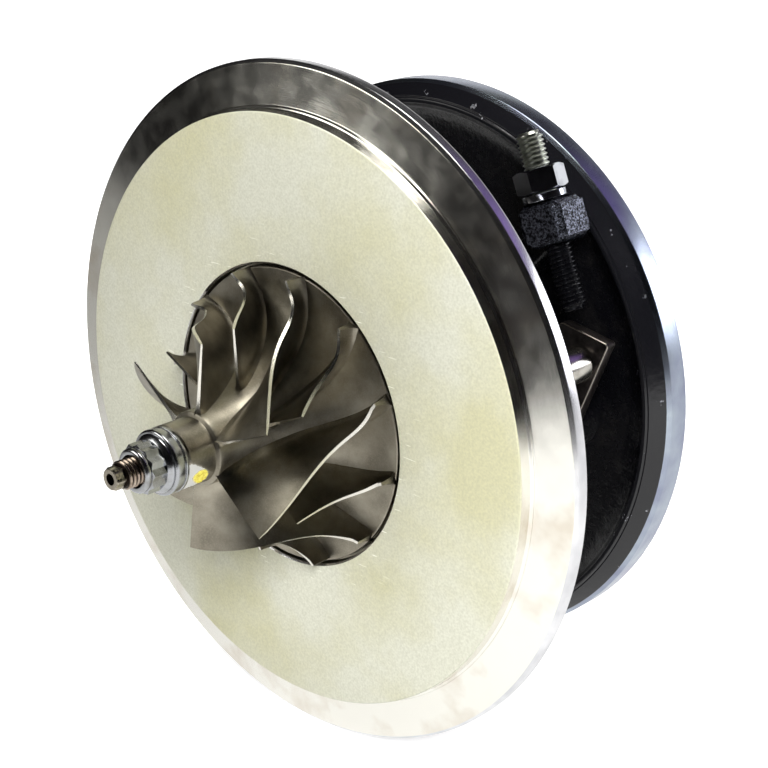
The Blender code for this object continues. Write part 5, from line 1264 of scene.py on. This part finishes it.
def finish_inner_nodes():
    """CAD pieces whose shape is right keep it and get their finish."""
    inner = {
        "thrust_collar": nut_finish, "flinger_sleeve": nut_finish,
        "compressor_piston_ring": washer_finish, "turbine_piston_ring": washer_finish,
        "journal_bearing_compressor_side": bronze_finish,
        "journal_bearing_turbine_side": bronze_finish,
        "thrust_bearing": bronze_finish, "thrust_bearing_pin": nut_finish,
        "oil_deflector": sheet_finish, "backplate_o_ring": rubber_finish,
        "heat_shield": sheet_finish, "lever_shaft": lever_finish, "lever_bush": pin_finish}
    for number in range(1, 5):
        inner[f"snap_ring_{number}"] = washer_finish
        inner[f"backplate_screw_{number}"] = zinc_finish
    for name, finish in inner.items():
        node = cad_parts[name]
        node.data.materials.clear()
        node.data.materials.append(finish)


face_finish = blasted_face()
ring_finish = polished_ring()
rim_finish = machined_rim()
pocket_finish = turned_metal("turned_pocket", "#B4AF9F", "#8F8A7C", 0.35, 0.4)
back_finish = turned_metal("dull_aluminium_back", "#6B6966", "#5C5A57", 0.45, 0.5)
wheel_finish = blasted_wheel()
edge_finish = blade_edge()
flat_finish = balance_flat()
nut_finish = turned_metal("turned_steel", "#ABADB0", "#858380", 0.2, 0.25)
shaft_finish = turned_metal("ground_shaft_steel", "#A9A294", "#6E675C", 0.28, 0.3)
thread_finish = shaft_thread_steel()
pin_finish = turned_metal("hardened_pin_steel", "#C9C5BC", "#9B968D", 0.2, 0.3)
casting_finish = black_casting()
chipped_finish = painted_edge()
iron_finish = machined_iron()
inner_iron_finish = turned_metal("bored_cast_iron", "#8C8A88", "#787674", 0.35, 0.4)
boss_finish = rough_casting()
alloy_finish = cast_alloy()
zinc_finish = zinc_plate()
lock_nut_finish = turned_metal("bright_plated_steel", "#DADDE4", "#A9ACB6", 0.13, 0.3)
washer_finish = dark_steel("phosphated_spring_steel", "#5A5A5C", "#2E2E30", 0.28)
lever_finish = dark_steel("oxidised_steel_plate", "#4A4543", "#242120", 0.36)
worn_edge_finish = turned_metal("worn_plate_edge", "#B9B2A8", "#7F786E", 0.3, 0.3)
bronze_finish = bearing_bronze()
rubber_finish = seal_rubber()
sheet_finish = sheet_steel()

build_backplate()
build_compressor()
build_nut()
build_shaft_and_turbine()
build_housing()
build_housing_bosses()
build_stop_boss()
build_stop_screw()
build_lever()
finish_inner_nodes()
build_studio()
add_camera()

bpy.context.scene.view_settings.view_transform = "Standard"
